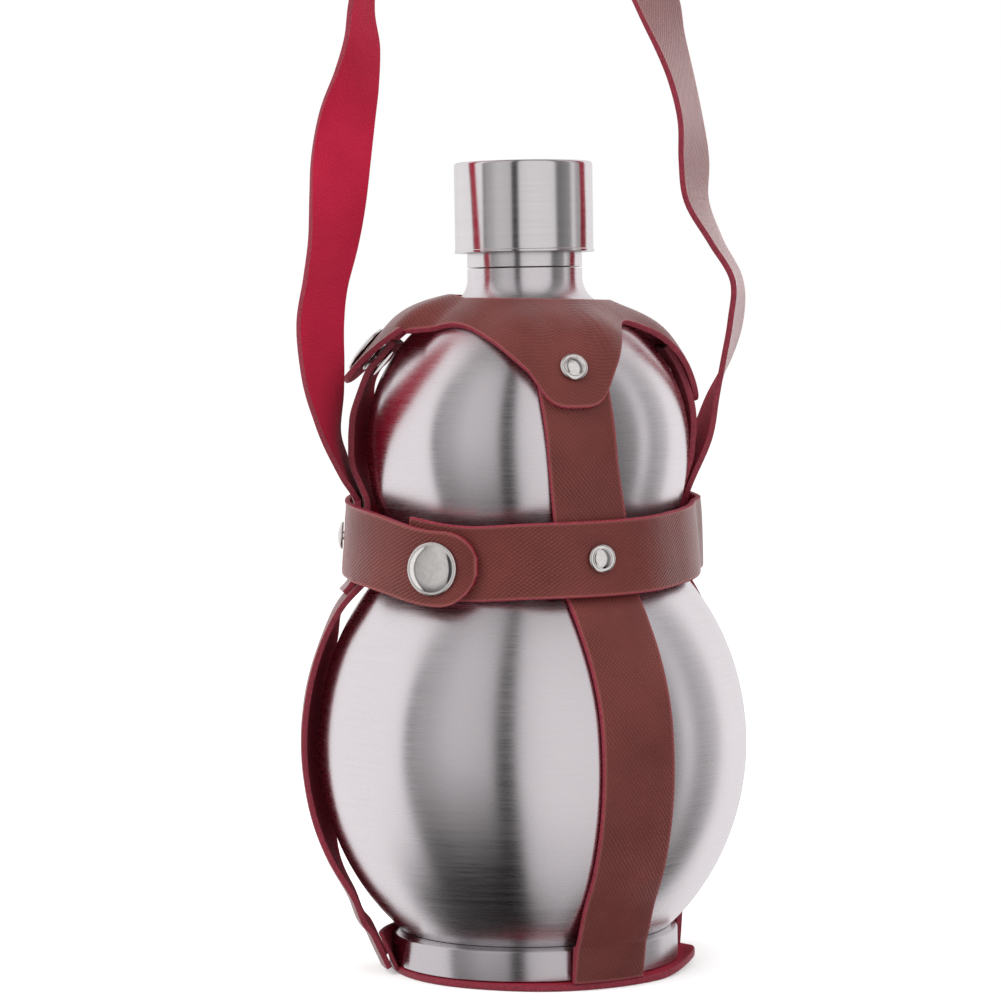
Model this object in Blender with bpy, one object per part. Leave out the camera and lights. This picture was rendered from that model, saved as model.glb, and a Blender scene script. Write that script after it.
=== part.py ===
"""A double-bulb stainless steel flask with a screw cap, carried in a leather harness.

Metres, +Z up. The origin lies on the flask's axis, at the underside of the leather base disc.
Azimuths are in degrees, from the front (-Y) towards +X. The camera side is the front.
"""

import math
from collections import namedtuple

import bmesh
import bpy
from mathutils import Matrix, Vector

MM = 0.001

# Flask
WALL = 0.8 * MM
BASE_THICKNESS = 2.0 * MM
GAP = 0.3 * MM
LAYER_GAP = 0.3 * MM
LOWER_CENTRE = 65.4 * MM
LOWER_RADIUS = 62.3 * MM
LOWER_RISE = 69.0 * MM
UPPER_CENTRE = 152.5 * MM
UPPER_RADIUS = 46.7 * MM
UPPER_RISE = 45.2 * MM
UPPER_DROP = 55.0 * MM
WAIST_HEIGHT = 120.0 * MM
NECK_RADIUS = 16.6 * MM
NECK_FILLET = 8.0 * MM
SHOULDER_TOP = 202.7 * MM
HEEL_HEIGHT = 9.0 * MM
HEEL_RADIUS = 21.9 * MM
PUNT_RISE = 2.2 * MM
FOOT_RADIUS = 41.5 * MM
FOOT_HEIGHT = 8.6 * MM
FOOT_LIP = 0.8 * MM
FOOT_WALL = 1.2 * MM
FOOT_ROUND = 0.8 * MM

# Neck and cap
CAP_RADIUS = 20.0 * MM
CAP_HEIGHT = 26.0 * MM
CAP_WALL = 0.8 * MM
CAP_ROUND = 1.0 * MM
CAP_CLEARANCE = 4.6 * MM
NECK_BORE = 13.6 * MM
NECK_STEP = 5.5 * MM
THREAD_RADIUS = 15.0 * MM
THREAD_PLAY = 0.5 * MM
RIM_HEIGHT = 222.6 * MM
RIM_ROUND = 0.5 * MM
LINER_TOP = 2.0 * MM
SEAL_THICKNESS = 2.0 * MM
SEAL_BORE = 10.0 * MM

# Leather
LEATHER = 1.7 * MM
STRAP_TOP_WIDTH = 20.0 * MM
STRAP_WIDTH = 22.0 * MM
STRAP_WAIST_RADIUS = 47.7 * MM
WAIST_LEAN = 0.065
DRIFT_TOP = 185.0 * MM
DRIFT_BOTTOM = 75.0 * MM
BASE_RADIUS = 45.0 * MM
BASE_RIGHTWARD = 1.5 * MM
BASE_BACKWARD = 0.8 * MM
BASE_ROUND = 0.4 * MM
TAB_HEIGHT = 12.6 * MM
TAB_WIDTH = 20.0 * MM
TAB_THICKNESS = 1.4 * MM
RIVET_ROOM = 1.2 * MM
RIVET_ROOM_HEIGHT = 162.0 * MM
CROWN_HEIGHT = 178.0 * MM
FOLD_TILT = 40.5
FOLD_OFFSET = 5.3 * MM
FLAP_SLOPE = 49.5
FLAP_LENGTH = 19.8 * MM
CROWN_HOLE_TILT = 61.6
CROWN_HOLE_SLANT = 1.8
BELT_HEIGHT = 125.5 * MM
BELT_WIDTH = 21.0 * MM
BELT_FREE_RADIUS = 47.6 * MM
BELT_NOD = 4.0 * MM
BELT_ROLL = 0.8 * MM
BAND_DIP = 1.6 * MM
FLAP_DIP = 3.2 * MM
SHOULDER_WIDTH = 18.0 * MM
HELD_ROOM = 0.38 * MM

# Fasteners
RIVET_RADIUS = 4.0 * MM
RIVET_DOME = 1.5 * MM
RIVET_SHANK = 1.3 * MM
RIVET_TAIL_RADIUS = 3.2 * MM
RIVET_TAIL = 0.6 * MM
HOLE_PLAY = 0.15 * MM
SNAP_RADIUS = 7.5 * MM
SNAP_DOME = 1.5 * MM
SNAP_RIM = 0.5 * MM
SNAP_SHANK = 1.7 * MM
SOCKET_RADIUS = 5.0 * MM
SOCKET_THICKNESS = 0.9 * MM
SOCKET_ROOF = 0.3 * MM
SOCKET_MOUTH = 3.2 * MM
STUD_RADIUS = 4.4 * MM
STUD_FLANGE = 0.35 * MM
STUD_KNOB = 2.8 * MM
STUD_RISE = 0.6 * MM
SNAP_BACK = 0.4 * MM
BEND_ROOM = SOCKET_RADIUS * SOCKET_RADIUS / (2.0 * BELT_FREE_RADIUS)
SNAP_SPACE = 3.0 * HOLE_PLAY + BEND_ROOM + SOCKET_THICKNESS + STUD_FLANGE

# Counts of facets
TURNS = 40
RIVET_SIDES = 20
HOLE_SIDES = 12

Bulb = namedtuple("Bulb", "centre radius rise drop")
Strap = namedtuple("Strap", "name top bottom slack foot_lean doubled")

UPPER = Bulb(UPPER_CENTRE, UPPER_RADIUS, UPPER_RISE, UPPER_DROP)
LOWER = Bulb(LOWER_CENTRE, LOWER_RADIUS, LOWER_RISE, LOWER_RISE)

SLACK = 0.4 * MM
LOOSE_SLACK = 3.4 * MM
STRAPS = [
    Strap("strap_front", 15.7, 27.6, SLACK, 0.2, False),
    Strap("strap_right", 106.0, 124.0, SLACK, 0.12, True),
    Strap("strap_back", 190.0, 200.0, SLACK, 0.2, False),
    Strap("strap_left", -95.0, -84.5, LOOSE_SLACK, 0.45, True),
]
FRONT, RIGHT, BACK, LEFT = STRAPS

# The lobes' outline: degrees either side of a lobe's middle, and the bulb's tilt that its edge reaches
TONGUE = [(0.0, 12.4), (5.0, 12.6), (7.5, 13.4), (9.5, 15.0), (11.2, 17.6), (12.6, 21.0), (13.6, 24.0)]
# From the tongue to the top of the arch: share of the way round, and the tilt reached there
ARCH_SHARES = [(0.09, 27.0), (0.2, 31.2), (0.33, 35.8), (0.46, 40.0), (0.6, 43.2), (0.78, 46.0), (1.0, 47.3)]

# Shoulder strap's free length: its middle line (across, back, up) from the left over the top to the
# right, and the azimuth to which its front edge points there
SHOULDER_ROUTE = [
    (-53.4, -2.5, 145.5, -4.0),
    (-55.3, -6.5, 153.0, -6.0),
    (-56.7, -13.0, 164.6, -22.0),
    (-57.9, -18.5, 176.2, -35.0),
    (-58.2, -20.5, 188.0, -40.0),
    (-56.5, -20.5, 199.4, -37.0),
    (-54.3, -18.5, 210.9, -43.0),
    (-53.0, -15.5, 222.4, -53.0),
    (-52.0, -12.0, 234.0, -60.0),
    (-50.2, -9.0, 245.5, -54.0),
    (-47.3, -6.0, 257.0, -38.0),
    (-45.5, -3.0, 268.4, -26.0),
    (-45.6, 0.0, 279.9, -16.0),
    (-44.0, 0.0, 292.5, -17.0),
    (-39.0, 0.0, 303.5, -20.0),
    (-30.0, 0.0, 312.5, -23.0),
    (-17.5, 0.0, 317.5, -26.0),
    (-3.5, 0.0, 317.5, -30.0),
    (10.5, 0.0, 313.0, -34.0),
    (22.0, 0.0, 304.5, -39.0),
    (31.5, 0.0, 293.0, -44.0),
    (38.7, 0.5, 280.5, -46.0),
    (42.6, 2.0, 268.7, -32.0),
    (46.2, 3.5, 257.0, -24.0),
    (48.7, 5.0, 245.2, -22.0),
    (49.7, 6.5, 233.5, -27.0),
    (50.5, 8.0, 221.9, -22.0),
    (55.8, 9.5, 210.2, -14.0),
    (61.8, 11.0, 198.6, -11.0),
    (61.6, 12.5, 187.0, -13.0),
    (58.8, 14.0, 175.4, -8.0),
    (54.7, 15.5, 163.8, 5.0),
    (51.2, 16.6, 152.5, 14.0),
]
# Heights of its ends' middle line, held between the belt and a strap
SHOULDER_TAIL_LEFT = 110.3 * MM
SHOULDER_TAIL_RIGHT = 113.3 * MM
SHOULDER_HELD = [113.5 * MM, 118.0 * MM, 123.0 * MM, 128.0 * MM, 133.0 * MM, 137.5 * MM]
SHOULDER_STEPS = 84

STEEL = ((0.72, 0.71, 0.71), 1.0, 0.3)
POLISHED = ((0.83, 0.82, 0.80), 1.0, 0.12)
BROWN = ((0.16, 0.035, 0.03), 0.0, 0.5)
RED = ((0.35, 0.01, 0.04), 0.0, 0.75)
WHITE_PLASTIC = ((0.75, 0.75, 0.73), 0.0, 0.4)
SILICONE = ((0.85, 0.85, 0.83), 0.0, 0.5)


# Small tools
def clear_scene():
    for thing in list(bpy.data.objects):
        bpy.data.objects.remove(thing, do_unlink=True)


def finish_of(look, name):
    colour, metallic, roughness = look
    material = bpy.data.materials.new(name)
    material.use_nodes = True
    shader = material.node_tree.nodes["Principled BSDF"]
    shader.inputs["Base Color"].default_value = (*colour, 1.0)
    shader.inputs["Metallic"].default_value = metallic
    shader.inputs["Roughness"].default_value = roughness
    return material


def solid(name, points, faces, look):
    """One closed mesh object with its faces turned outward."""
    mesh = bpy.data.meshes.new(name)
    shape = bmesh.new()
    corners = [shape.verts.new(point) for point in points]
    for face in faces:
        shape.faces.new([corners[index] for index in face])
    bmesh.ops.recalc_face_normals(shape, faces=shape.faces[:])
    shape.to_mesh(mesh)
    shape.free()
    mesh.shade_smooth()
    mesh.set_sharp_from_angle(angle=math.radians(35.0))
    mesh.materials.append(finish_of(look, name))
    thing = bpy.data.objects.new(name, mesh)
    bpy.context.scene.collection.objects.link(thing)
    return thing


def lathe(name, outline, look, sides=TURNS):
    """An outline of (radius, height) turned about Z; points on the axis become single poles."""
    points = []
    rings = []
    for radius, height in outline:
        if radius == 0:
            rings.append([len(points)])
            points.append((0, 0, height))
            continue
        rings.append([len(points) + step for step in range(sides)])
        for step in range(sides):
            angle = math.tau * step / sides
            points.append((radius * math.cos(angle), radius * math.sin(angle), height))
    faces = []
    for one, two in zip(rings, rings[1:] + rings[:1]):
        if len(one) == 1 and len(two) == 1:
            continue
        for step in range(sides):
            ahead = (step + 1) % sides
            if len(one) == 1:
                faces.append((one[0], two[ahead], two[step]))
            elif len(two) == 1:
                faces.append((one[step], one[ahead], two[0]))
            else:
                faces.append((one[step], one[ahead], two[ahead], two[step]))
    return solid(name, points, faces, look)


def sheet(name, inner, outer, look, ring=False):
    """A leather piece between two grids of points; the rows close on themselves in a ring."""
    rows = len(inner)
    across = len(inner[0])
    points = [point for grid in (inner, outer) for row in grid for point in row]

    def index(side, row, column):
        return side * rows * across + (row % rows) * across + column

    faces = []
    for row in range(rows if ring else rows - 1):
        for column in range(across - 1):
            for side in (0, 1):
                faces.append(
                    (
                        index(side, row, column),
                        index(side, row + 1, column),
                        index(side, row + 1, column + 1),
                        index(side, row, column + 1),
                    )
                )
        for column in (0, across - 1):
            faces.append(
                (
                    index(0, row, column),
                    index(0, row + 1, column),
                    index(1, row + 1, column),
                    index(1, row, column),
                )
            )
    if not ring:
        for row in (0, rows - 1):
            for column in range(across - 1):
                faces.append(
                    (
                        index(0, row, column),
                        index(0, row, column + 1),
                        index(1, row, column + 1),
                        index(1, row, column),
                    )
                )
    return solid(name, points, faces, look)


def outward(azimuth):
    turn = math.radians(azimuth)
    return Vector((math.sin(turn), -math.cos(turn), 0))


def place(azimuth, radius, height):
    return outward(azimuth) * radius + Vector((0, 0, height))


def bulb_point(bulb, tilt, offset):
    """(radius, height) on a bulb at a tilt above its widest line, moved out along its normal."""
    turn = math.radians(tilt)
    half = bulb.rise if turn >= 0 else bulb.drop
    normal = Vector((math.cos(turn) / bulb.radius, math.sin(turn) / half)).normalized()
    base = Vector((bulb.radius * math.cos(turn), bulb.centre + half * math.sin(turn)))
    return base + normal * offset


def tilt_at(bulb, height):
    half = bulb.rise if height >= bulb.centre else bulb.drop
    return math.degrees(math.asin((height - bulb.centre) / half))


def spread(first, last, count):
    return [first + (last - first) * step / (count - 1) for step in range(count)]


def smooth(value, low, high):
    share = min(max((value - low) / (high - low), 0.0), 1.0)
    return share * share * (3.0 - 2.0 * share)


def through(points, share):
    """A smooth curve through vectors at equal spacing, read at a share of its way."""
    place_on = share * (len(points) - 1)
    index = min(int(place_on), len(points) - 2)
    part = place_on - index
    before = points[max(index - 1, 0)]
    start = points[index]
    end = points[index + 1]
    after = points[min(index + 2, len(points) - 1)]
    leave = (end - before) * 0.5
    arrive = (after - start) * 0.5
    square = part * part
    cube = square * part
    return (
        start * (2.0 * cube - 3.0 * square + 1.0)
        + leave * (cube - 2.0 * square + part)
        + end * (3.0 * square - 2.0 * cube)
        + arrive * (cube - square)
    )


def stand(thing, point, direction):
    """Puts a piece's +Z along a direction, with its origin at a point."""
    turn = Vector((0, 0, 1)).rotation_difference(direction).to_matrix().to_4x4()
    thing.matrix_world = Matrix.Translation(point) @ turn


def drill(thing, point, direction, radius):
    """Cuts a round hole through a leather piece along a direction."""
    cutter = lathe("cutter", [(0, -DRILL), (radius, -DRILL), (radius, DRILL), (0, DRILL)], STEEL, HOLE_SIDES)
    stand(cutter, point, direction)
    cutter.hide_render = True
    cutter.display_type = "WIRE"
    cut = thing.modifiers.new("hole", "BOOLEAN")
    cut.operation = "DIFFERENCE"
    cut.solver = "EXACT"
    cut.object = cutter


def pivot(thing, point):
    """Moves a piece's origin to its joint's axis without moving the piece."""
    thing.data.transform(Matrix.Translation(-point) @ thing.matrix_world)
    thing.matrix_world = Matrix.Translation(point)


DRILL = LEATHER + HOLE_PLAY


# Flask
def neck_fillet():
    """The tilt where the shoulder leaves the upper bulb, and the fillet's centre."""
    low, high = 30.0, 85.0
    for _ in range(40):
        middle = (low + high) / 2
        if bulb_point(UPPER, middle, NECK_FILLET).x > NECK_RADIUS + NECK_FILLET:
            low = middle
        else:
            high = middle
    return low, bulb_point(UPPER, low, NECK_FILLET)


def shoulder(offset, count):
    """The fillet from the upper bulb to the neck, moved in by the wall for its inside."""
    tilt, centre = neck_fillet()
    normal = bulb_point(UPPER, tilt, NECK_FILLET) - bulb_point(UPPER, tilt, 0)
    start = math.atan2(-normal.y, -normal.x) + math.tau
    reach = NECK_FILLET - offset
    return [
        (centre.x + reach * math.cos(angle), centre.y + reach * math.sin(angle))
        for angle in spread(start, math.pi, count)
    ]


def bulb_wall(bulb, low, high, count, offset):
    return [tuple(bulb_point(bulb, tilt, offset)) for tilt in spread(low, high, count)]


def heel(tilt, inset, count):
    """The arc that rounds the lower bulb off into its bottom, from the middle outward."""
    start = bulb_point(LOWER, tilt, 0)
    normal = bulb_point(LOWER, tilt, HEEL_RADIUS) - start
    centre = start - normal
    end = math.atan2(normal.y, normal.x)
    reach = HEEL_RADIUS - inset
    return [
        (centre.x + reach * math.cos(angle), centre.y + reach * math.sin(angle))
        for angle in spread(-math.pi / 2, end, count)
    ]


def make_flask():
    waist_low = WAIST_HEIGHT - GAP / 2
    waist_high = WAIST_HEIGHT + GAP / 2
    top_tilt = neck_fillet()[0]
    low_tilt = tilt_at(UPPER, waist_high)
    outer = bulb_wall(UPPER, low_tilt, top_tilt, 13, 0)[:-1] + shoulder(0, 5)
    inner = bulb_wall(UPPER, low_tilt, top_tilt, 9, -WALL)[:-1] + shoulder(-WALL, 4)
    inner[0] = (inner[0][0], waist_high)
    rim = [(NECK_RADIUS, SHOULDER_TOP), (NECK_RADIUS - WALL, SHOULDER_TOP)]
    lathe("upper_bulb", outer + rim + inner[::-1], STEEL)

    heel_tilt = tilt_at(LOWER, HEEL_HEIGHT)
    crest_tilt = tilt_at(LOWER, waist_low)
    outer = heel(heel_tilt, 0, 5)[:-1] + bulb_wall(LOWER, heel_tilt, crest_tilt, 15, 0)
    inner = heel(heel_tilt, WALL, 4)[:-1] + bulb_wall(LOWER, heel_tilt, crest_tilt, 11, -WALL)
    inner[-1] = (inner[-1][0], waist_low)
    edge, low = outer[0]
    outside = [(0, low + PUNT_RISE), (edge / 2, low + PUNT_RISE * 0.75)]
    inside = [(radius, height + WALL) for radius, height in outside]
    lathe("lower_bulb", outside + outer + inner[::-1] + inside[::-1], STEEL)

    bottom = BASE_THICKNESS + LAYER_GAP
    top = bottom + FOOT_HEIGHT
    lip = top + FOOT_LIP
    seat = bulb_point(LOWER, tilt_at(LOWER, lip), GAP).x
    lathe(
        "foot_ring",
        [
            (FOOT_RADIUS, bottom),
            (FOOT_RADIUS, top - FOOT_ROUND),
            (FOOT_RADIUS - FOOT_ROUND * 0.3, top - FOOT_ROUND * 0.3),
            (FOOT_RADIUS - FOOT_ROUND, top),
            (seat, lip),
            (seat, lip - FOOT_WALL),
            (FOOT_RADIUS - FOOT_WALL, top - FOOT_WALL),
            (FOOT_RADIUS - FOOT_WALL, bottom),
        ],
        STEEL,
    )

    neck_low = SHOULDER_TOP + GAP
    step_top = neck_low + NECK_STEP
    lathe(
        "neck_ring",
        [
            (NECK_BORE, neck_low),
            (NECK_RADIUS, neck_low),
            (NECK_RADIUS, step_top - RIM_ROUND),
            (NECK_RADIUS - RIM_ROUND, step_top),
            (THREAD_RADIUS, step_top),
            (THREAD_RADIUS, RIM_HEIGHT - RIM_ROUND),
            (THREAD_RADIUS - RIM_ROUND, RIM_HEIGHT),
            (NECK_BORE + RIM_ROUND, RIM_HEIGHT),
            (NECK_BORE, RIM_HEIGHT - RIM_ROUND),
        ],
        STEEL,
    )


# Screw cap
def make_cap():
    low = SHOULDER_TOP + CAP_CLEARANCE
    top = low + CAP_HEIGHT
    inner = CAP_RADIUS - CAP_WALL
    lathe(
        "cap_shell",
        [
            (0, top),
            (CAP_RADIUS - CAP_ROUND, top),
            (CAP_RADIUS - CAP_ROUND * 0.3, top - CAP_ROUND * 0.3),
            (CAP_RADIUS, top - CAP_ROUND),
            (CAP_RADIUS, low),
            (inner, low),
            (inner, top - CAP_WALL),
            (0, top - CAP_WALL),
        ],
        STEEL,
    )
    seal_low = RIM_HEIGHT + GAP
    seal_high = seal_low + SEAL_THICKNESS
    liner_radius = inner - GAP
    bore = THREAD_RADIUS + THREAD_PLAY
    ceiling = seal_high + GAP
    liner_high = top - CAP_WALL - GAP
    mouth = SHOULDER_TOP + NECK_STEP + 4.0 * GAP
    lathe(
        "cap_liner",
        [
            (0, liner_high),
            (liner_radius, liner_high),
            (liner_radius, mouth),
            (bore, mouth),
            (bore, ceiling),
            (LINER_CORE, ceiling),
            (LINER_CORE, liner_high - LINER_TOP),
            (0, liner_high - LINER_TOP),
        ],
        WHITE_PLASTIC,
    )
    lathe(
        "cap_seal",
        [
            (SEAL_BORE, seal_low),
            (bore - GAP, seal_low),
            (bore - GAP, seal_high),
            (SEAL_BORE, seal_high),
        ],
        SILICONE,
        HOLE_SIDES * 2,
    )


LINER_CORE = SEAL_BORE


# Straps down the flask
def strap_azimuth(strap, height):
    share = smooth(-height, -DRIFT_TOP, -DRIFT_BOTTOM)
    return strap.top + (strap.bottom - strap.top) * share


def strap_half_width(height):
    share = smooth(height, WAIST_HEIGHT, UPPER_CENTRE)
    return (STRAP_WIDTH + (STRAP_TOP_WIDTH - STRAP_WIDTH) * share) / 2


def waist_radius(height):
    """Inner radius of a strap where it bridges the waist under the belt."""
    return STRAP_WAIST_RADIUS - WAIST_LEAN * (height - WAIST_HEIGHT)


def upper_clearance(strap, tilt):
    """Room under a strap on the upper bulb; it grows under the crown for the rivet's tail."""
    settled = tilt_at(UPPER, RIVET_ROOM_HEIGHT)
    return LAYER_GAP + strap.slack + RIVET_ROOM * smooth(tilt, -settled, settled)


def foot_radius(strap, height):
    """Inner radius of a strap's foot, which leans in towards the disc outside the tab."""
    rise = height - BASE_THICKNESS
    return FOOT_RADIUS + TAB_THICKNESS + 3.0 * LAYER_GAP + strap.foot_lean * rise


def strap_line(strap):
    """(radius, height) of a strap's inner face, from under the crown to the base disc."""
    line = []
    if strap is LEFT:
        snap = flap_point(SNAP_PLACE, -SNAP_SPACE - LEATHER)
        along = flap_direction()
        line.append(snap - along * (STUD_RADIUS + HOLE_PLAY))
        line.append(snap)
        line.append(snap + along * (STUD_RADIUS + HOLE_PLAY))
        tilts = spread(tilt_at(UPPER, RIVET_ROOM_HEIGHT), -6.0, 4)
    else:
        tilts = spread(tilt_at(UPPER, CROWN_HEIGHT), -6.0, 8)
    for tilt in tilts:
        room = LAYER_GAP + strap.slack if strap is LEFT else upper_clearance(strap, tilt)
        line.append(bulb_point(UPPER, tilt, room))
    half = BELT_WIDTH / 2 + LAYER_GAP
    crest = band_middle(strap_azimuth(strap, BELT_HEIGHT))
    heights = [crest + half, crest + half / 2, crest, crest - half / 2, crest - half]
    if strap.doubled:
        heights.append(SHOULDER_TAIL_RIGHT)
    for height in heights:
        line.append(Vector((waist_radius(height), height)))
    for tilt in spread(34.0, -36.0, 8):
        line.append(bulb_point(LOWER, tilt, LAYER_GAP + strap.slack))
    bend = TAB_HEIGHT * 1.25
    line.append(Vector((foot_radius(strap, bend) + LEATHER / 2, bend)))
    for height in (TAB_HEIGHT, TAB_HEIGHT * 0.6, BASE_THICKNESS + LAYER_GAP):
        line.append(Vector((foot_radius(strap, height), height)))
    return line


def offset_line(line, distance):
    """The same line moved out along its own normal."""
    moved = []
    for index, point in enumerate(line):
        ahead = line[min(index + 1, len(line) - 1)] - line[max(index - 1, 0)]
        normal = Vector((-ahead.y, ahead.x)).normalized()
        moved.append(point + normal * distance)
    return moved


def fine_line(strap):
    line = strap_line(strap)
    return [through(line, share) for share in spread(0.0, 1.0, STRAP_ROWS)]


def over_strap(strap, height, layers):
    """Radius over a strap's inner face and a number of layers, level with a height."""
    line = fine_line(strap)
    for above, below in zip(line, line[1:]):
        if below.y <= height <= above.y:
            share = (height - below.y) / (above.y - below.y)
            lean = math.hypot(above.x - below.x, above.y - below.y) / (above.y - below.y)
            return below.x + (above.x - below.x) * share + layers * (LEATHER + LAYER_GAP) * lean
    return 0.0


def make_strap(strap):
    fine = fine_line(strap)
    fine_outer = offset_line(fine, LEATHER)
    fine_outer[-1] = Vector((fine[-1].x + LEATHER, fine[-1].y))
    grids = []
    for surface in (fine, fine_outer):
        rows = []
        for base, (radius, height) in zip(fine, surface):
            azimuth = strap_azimuth(strap, base.y)
            spread_angle = math.degrees(strap_half_width(base.y) / base.x)
            rows.append(
                [
                    place(azimuth + side * spread_angle, radius, height)
                    for side in spread(-1.0, 1.0, STRAP_COLUMNS)
                ]
            )
        grids.append(rows)
    return sheet(strap.name, grids[0], grids[1], BROWN)


STRAP_ROWS = 34
STRAP_COLUMNS = 4


# Crown round the shoulder
def lobe_places():
    return [FRONT.top + 0.5, RIGHT.top, BACK.top, LEFT.top + 360.0]


def edge_tilts():
    """Azimuth and lowest tilt right round the crown, each lobe with half an arch on either side."""
    middles = lobe_places()
    count = len(middles)
    edge = []
    for index, middle in enumerate(middles):
        before = middles[index - 1] - (360.0 if index == 0 else 0.0)
        after = middles[(index + 1) % count] + (360.0 if index == count - 1 else 0.0)
        for side, reach in ((-1, (middle - before) / 2), (1, (after - middle) / 2)):
            start = TONGUE[-1][0]
            arch = [(start + (reach - start) * share, tilt) for share, tilt in ARCH_SHARES]
            half = [(middle + side * turn, tilt) for turn, tilt in TONGUE + arch]
            half = half[::-1] if side < 0 else half[1:-1]
            edge.extend(half)
    return edge


def lobe_lift(azimuth, tilt):
    """Extra room under the crown where its lobes lie over the strap tops."""
    lift = 0.0
    for strap, middle in zip(STRAPS, lobe_places()):
        apart = abs((azimuth - middle + 180.0) % 360.0 - 180.0)
        near = 1.0 - smooth(apart, 17.0, 32.0)
        top = TOP_OF_LEFT_LIFT if strap is LEFT else TOP_OF_LIFT
        down = 1.0 - smooth(tilt, FOLD_TILT, top)
        raised = LAYER_GAP + LEATHER + RIVET_ROOM + strap.slack
        if strap is LEFT:
            raised = FOLD_OFFSET - LAYER_GAP
        lift = max(lift, near * down * raised)
    return lift


TOP_OF_LIFT = 54.0
TOP_OF_LEFT_LIFT = 61.0


def crown_surface(azimuth, tilt, thickness):
    offset = LAYER_GAP + lobe_lift(azimuth, tilt) + thickness
    radius, height = bulb_point(UPPER, tilt, offset)
    return place(azimuth, radius, height)


def make_crown():
    """The collar with its three fixed lobes; the fourth lobe, at the left, is the flap."""
    inner = []
    outer = []
    for azimuth, low in edge_tilts():
        apart = abs((azimuth - LEFT.top + 180.0) % 360.0 - 180.0)
        if apart < 45.0:
            low = max(low, FOLD_TILT + FOLD_SPLIT)
        high = CROWN_HOLE_TILT - CROWN_HOLE_SLANT * math.sin(math.radians(azimuth))
        tilts = [high + (low - high) * share for share in CROWN_SHARES]
        inner.append([crown_surface(azimuth, tilt, 0) for tilt in tilts])
        outer.append([crown_surface(azimuth, tilt, LEATHER) for tilt in tilts])
    return sheet("crown_collar", inner, outer, BROWN, ring=True)


CROWN_SHARES = [0.0, 0.2, 0.4, 0.6, 0.8, 1.0]
FOLD_SPLIT = 0.6


# The flap of the crown: a straight tongue that closes over the left strap
def fold_point():
    return bulb_point(UPPER, FOLD_TILT, FOLD_OFFSET)


def flap_direction():
    slope = math.radians(FLAP_SLOPE)
    return Vector((math.cos(slope), -math.sin(slope)))


def flap_normal():
    slope = math.radians(FLAP_SLOPE)
    return Vector((math.sin(slope), math.cos(slope)))


def flap_point(along, out):
    """(radius, height) at a distance down the flap's inner face, and out from it."""
    return fold_point() + flap_direction() * along + flap_normal() * out


SNAP_PLACE = SNAP_RADIUS + 1.2 * MM


def make_crown_flap():
    inner = []
    outer = []
    edge = []
    for azimuth, low in edge_tilts():
        apart = (azimuth - LEFT.top + 180.0) % 360.0 - 180.0
        if low < FOLD_TILT - FOLD_SPLIT and abs(apart) < 45.0:
            edge.append((apart, low))
    lowest = TONGUE[0][1]
    for apart, low in edge:
        reach = FLAP_LENGTH * (FOLD_TILT - low) / (FOLD_TILT - lowest)
        azimuth = LEFT.top + apart
        for rows, out in ((inner, 0), (outer, LEATHER)):
            row = []
            for share in FLAP_SHARES:
                radius, height = flap_point(reach * share, out)
                row.append(place(azimuth, radius, height))
            rows.append(row)
    return sheet("crown_flap", inner, outer, BROWN)


FLAP_SHARES = [0.0, 0.35, 0.7, 1.0]


# Belt
def belt_middle(azimuth, dip, dip_azimuth, dip_width):
    """Height of the belt's middle line: low in front, and lower still where its ends are snapped."""
    turn = math.radians(azimuth)
    nod = BELT_NOD * math.cos(turn) + BELT_ROLL * math.sin(turn)
    apart = ((azimuth - dip_azimuth + 180.0) % 360.0 - 180.0) / dip_width
    return BELT_HEIGHT - nod - dip * math.exp(-apart * apart)


def band_middle(azimuth):
    return belt_middle(azimuth, BAND_DIP, SNAP_AZIMUTH + 8.0, 18.0)


def flap_middle(azimuth):
    return belt_middle(azimuth, FLAP_DIP, SNAP_AZIMUTH, 20.0)


SNAP_AZIMUTH = -30.5
BAND_START = -44.0
BAND_END = 279.5
BELT_FOLD = -79.8
FLAP_END = -16.5


# Degrees from a strap's middle where the belt starts to drop, and where it lies free
SINGLE_REACH = (15.5, 38.0)
DOUBLED_REACH = (14.0, 28.0)


def belt_radius(azimuth, height):
    """Inner radius of the belt, pushed out by the straps and by the shoulder strap's ends."""
    radius = BELT_FREE_RADIUS - WAIST_LEAN * (height - WAIST_HEIGHT)
    raised = 0.0
    for strap in STRAPS:
        layers = 2 if strap.doubled else 1
        room = 2.0 * HELD_ROOM if strap.doubled else 0.0
        over = over_strap(strap, height, layers) + room - radius
        apart = abs((azimuth - strap_azimuth(strap, height) + 180.0) % 360.0 - 180.0)
        hold, fade = DOUBLED_REACH if strap.doubled else SINGLE_REACH
        raised = max(raised, over * (1.0 - smooth(apart, hold, fade)))
    return radius + raised


def flap_radius(azimuth, height):
    """Inner radius of the belt's flap, which lies over the band's end and the snap's halves."""
    lean = WAIST_LEAN * (height - WAIST_HEIGHT)
    over_snap = BELT_FREE_RADIUS + LEATHER + SNAP_SPACE - lean
    start = belt_radius(BELT_FOLD, height)
    share = smooth(azimuth, BELT_FOLD, SNAP_AZIMUTH - 14.0)
    tip = smooth(azimuth, SNAP_AZIMUTH + 6.0, FLAP_END) * (SNAP_SPACE - LAYER_GAP * 2.0)
    return start + (over_snap - start) * share - tip


def belt_sheet(name, azimuths, middle, radius_at, half_at):
    inner = []
    outer = []
    for azimuth in azimuths:
        height = middle(azimuth)
        half = half_at(azimuth)
        for rows, out in ((inner, 0), (outer, LEATHER)):
            row = []
            for side in (-1.0, 0.0, 1.0):
                level = height + side * half
                row.append(place(azimuth, radius_at(azimuth, level) + out, level))
            rows.append(row)
    return sheet(name, inner, outer, BROWN)


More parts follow.
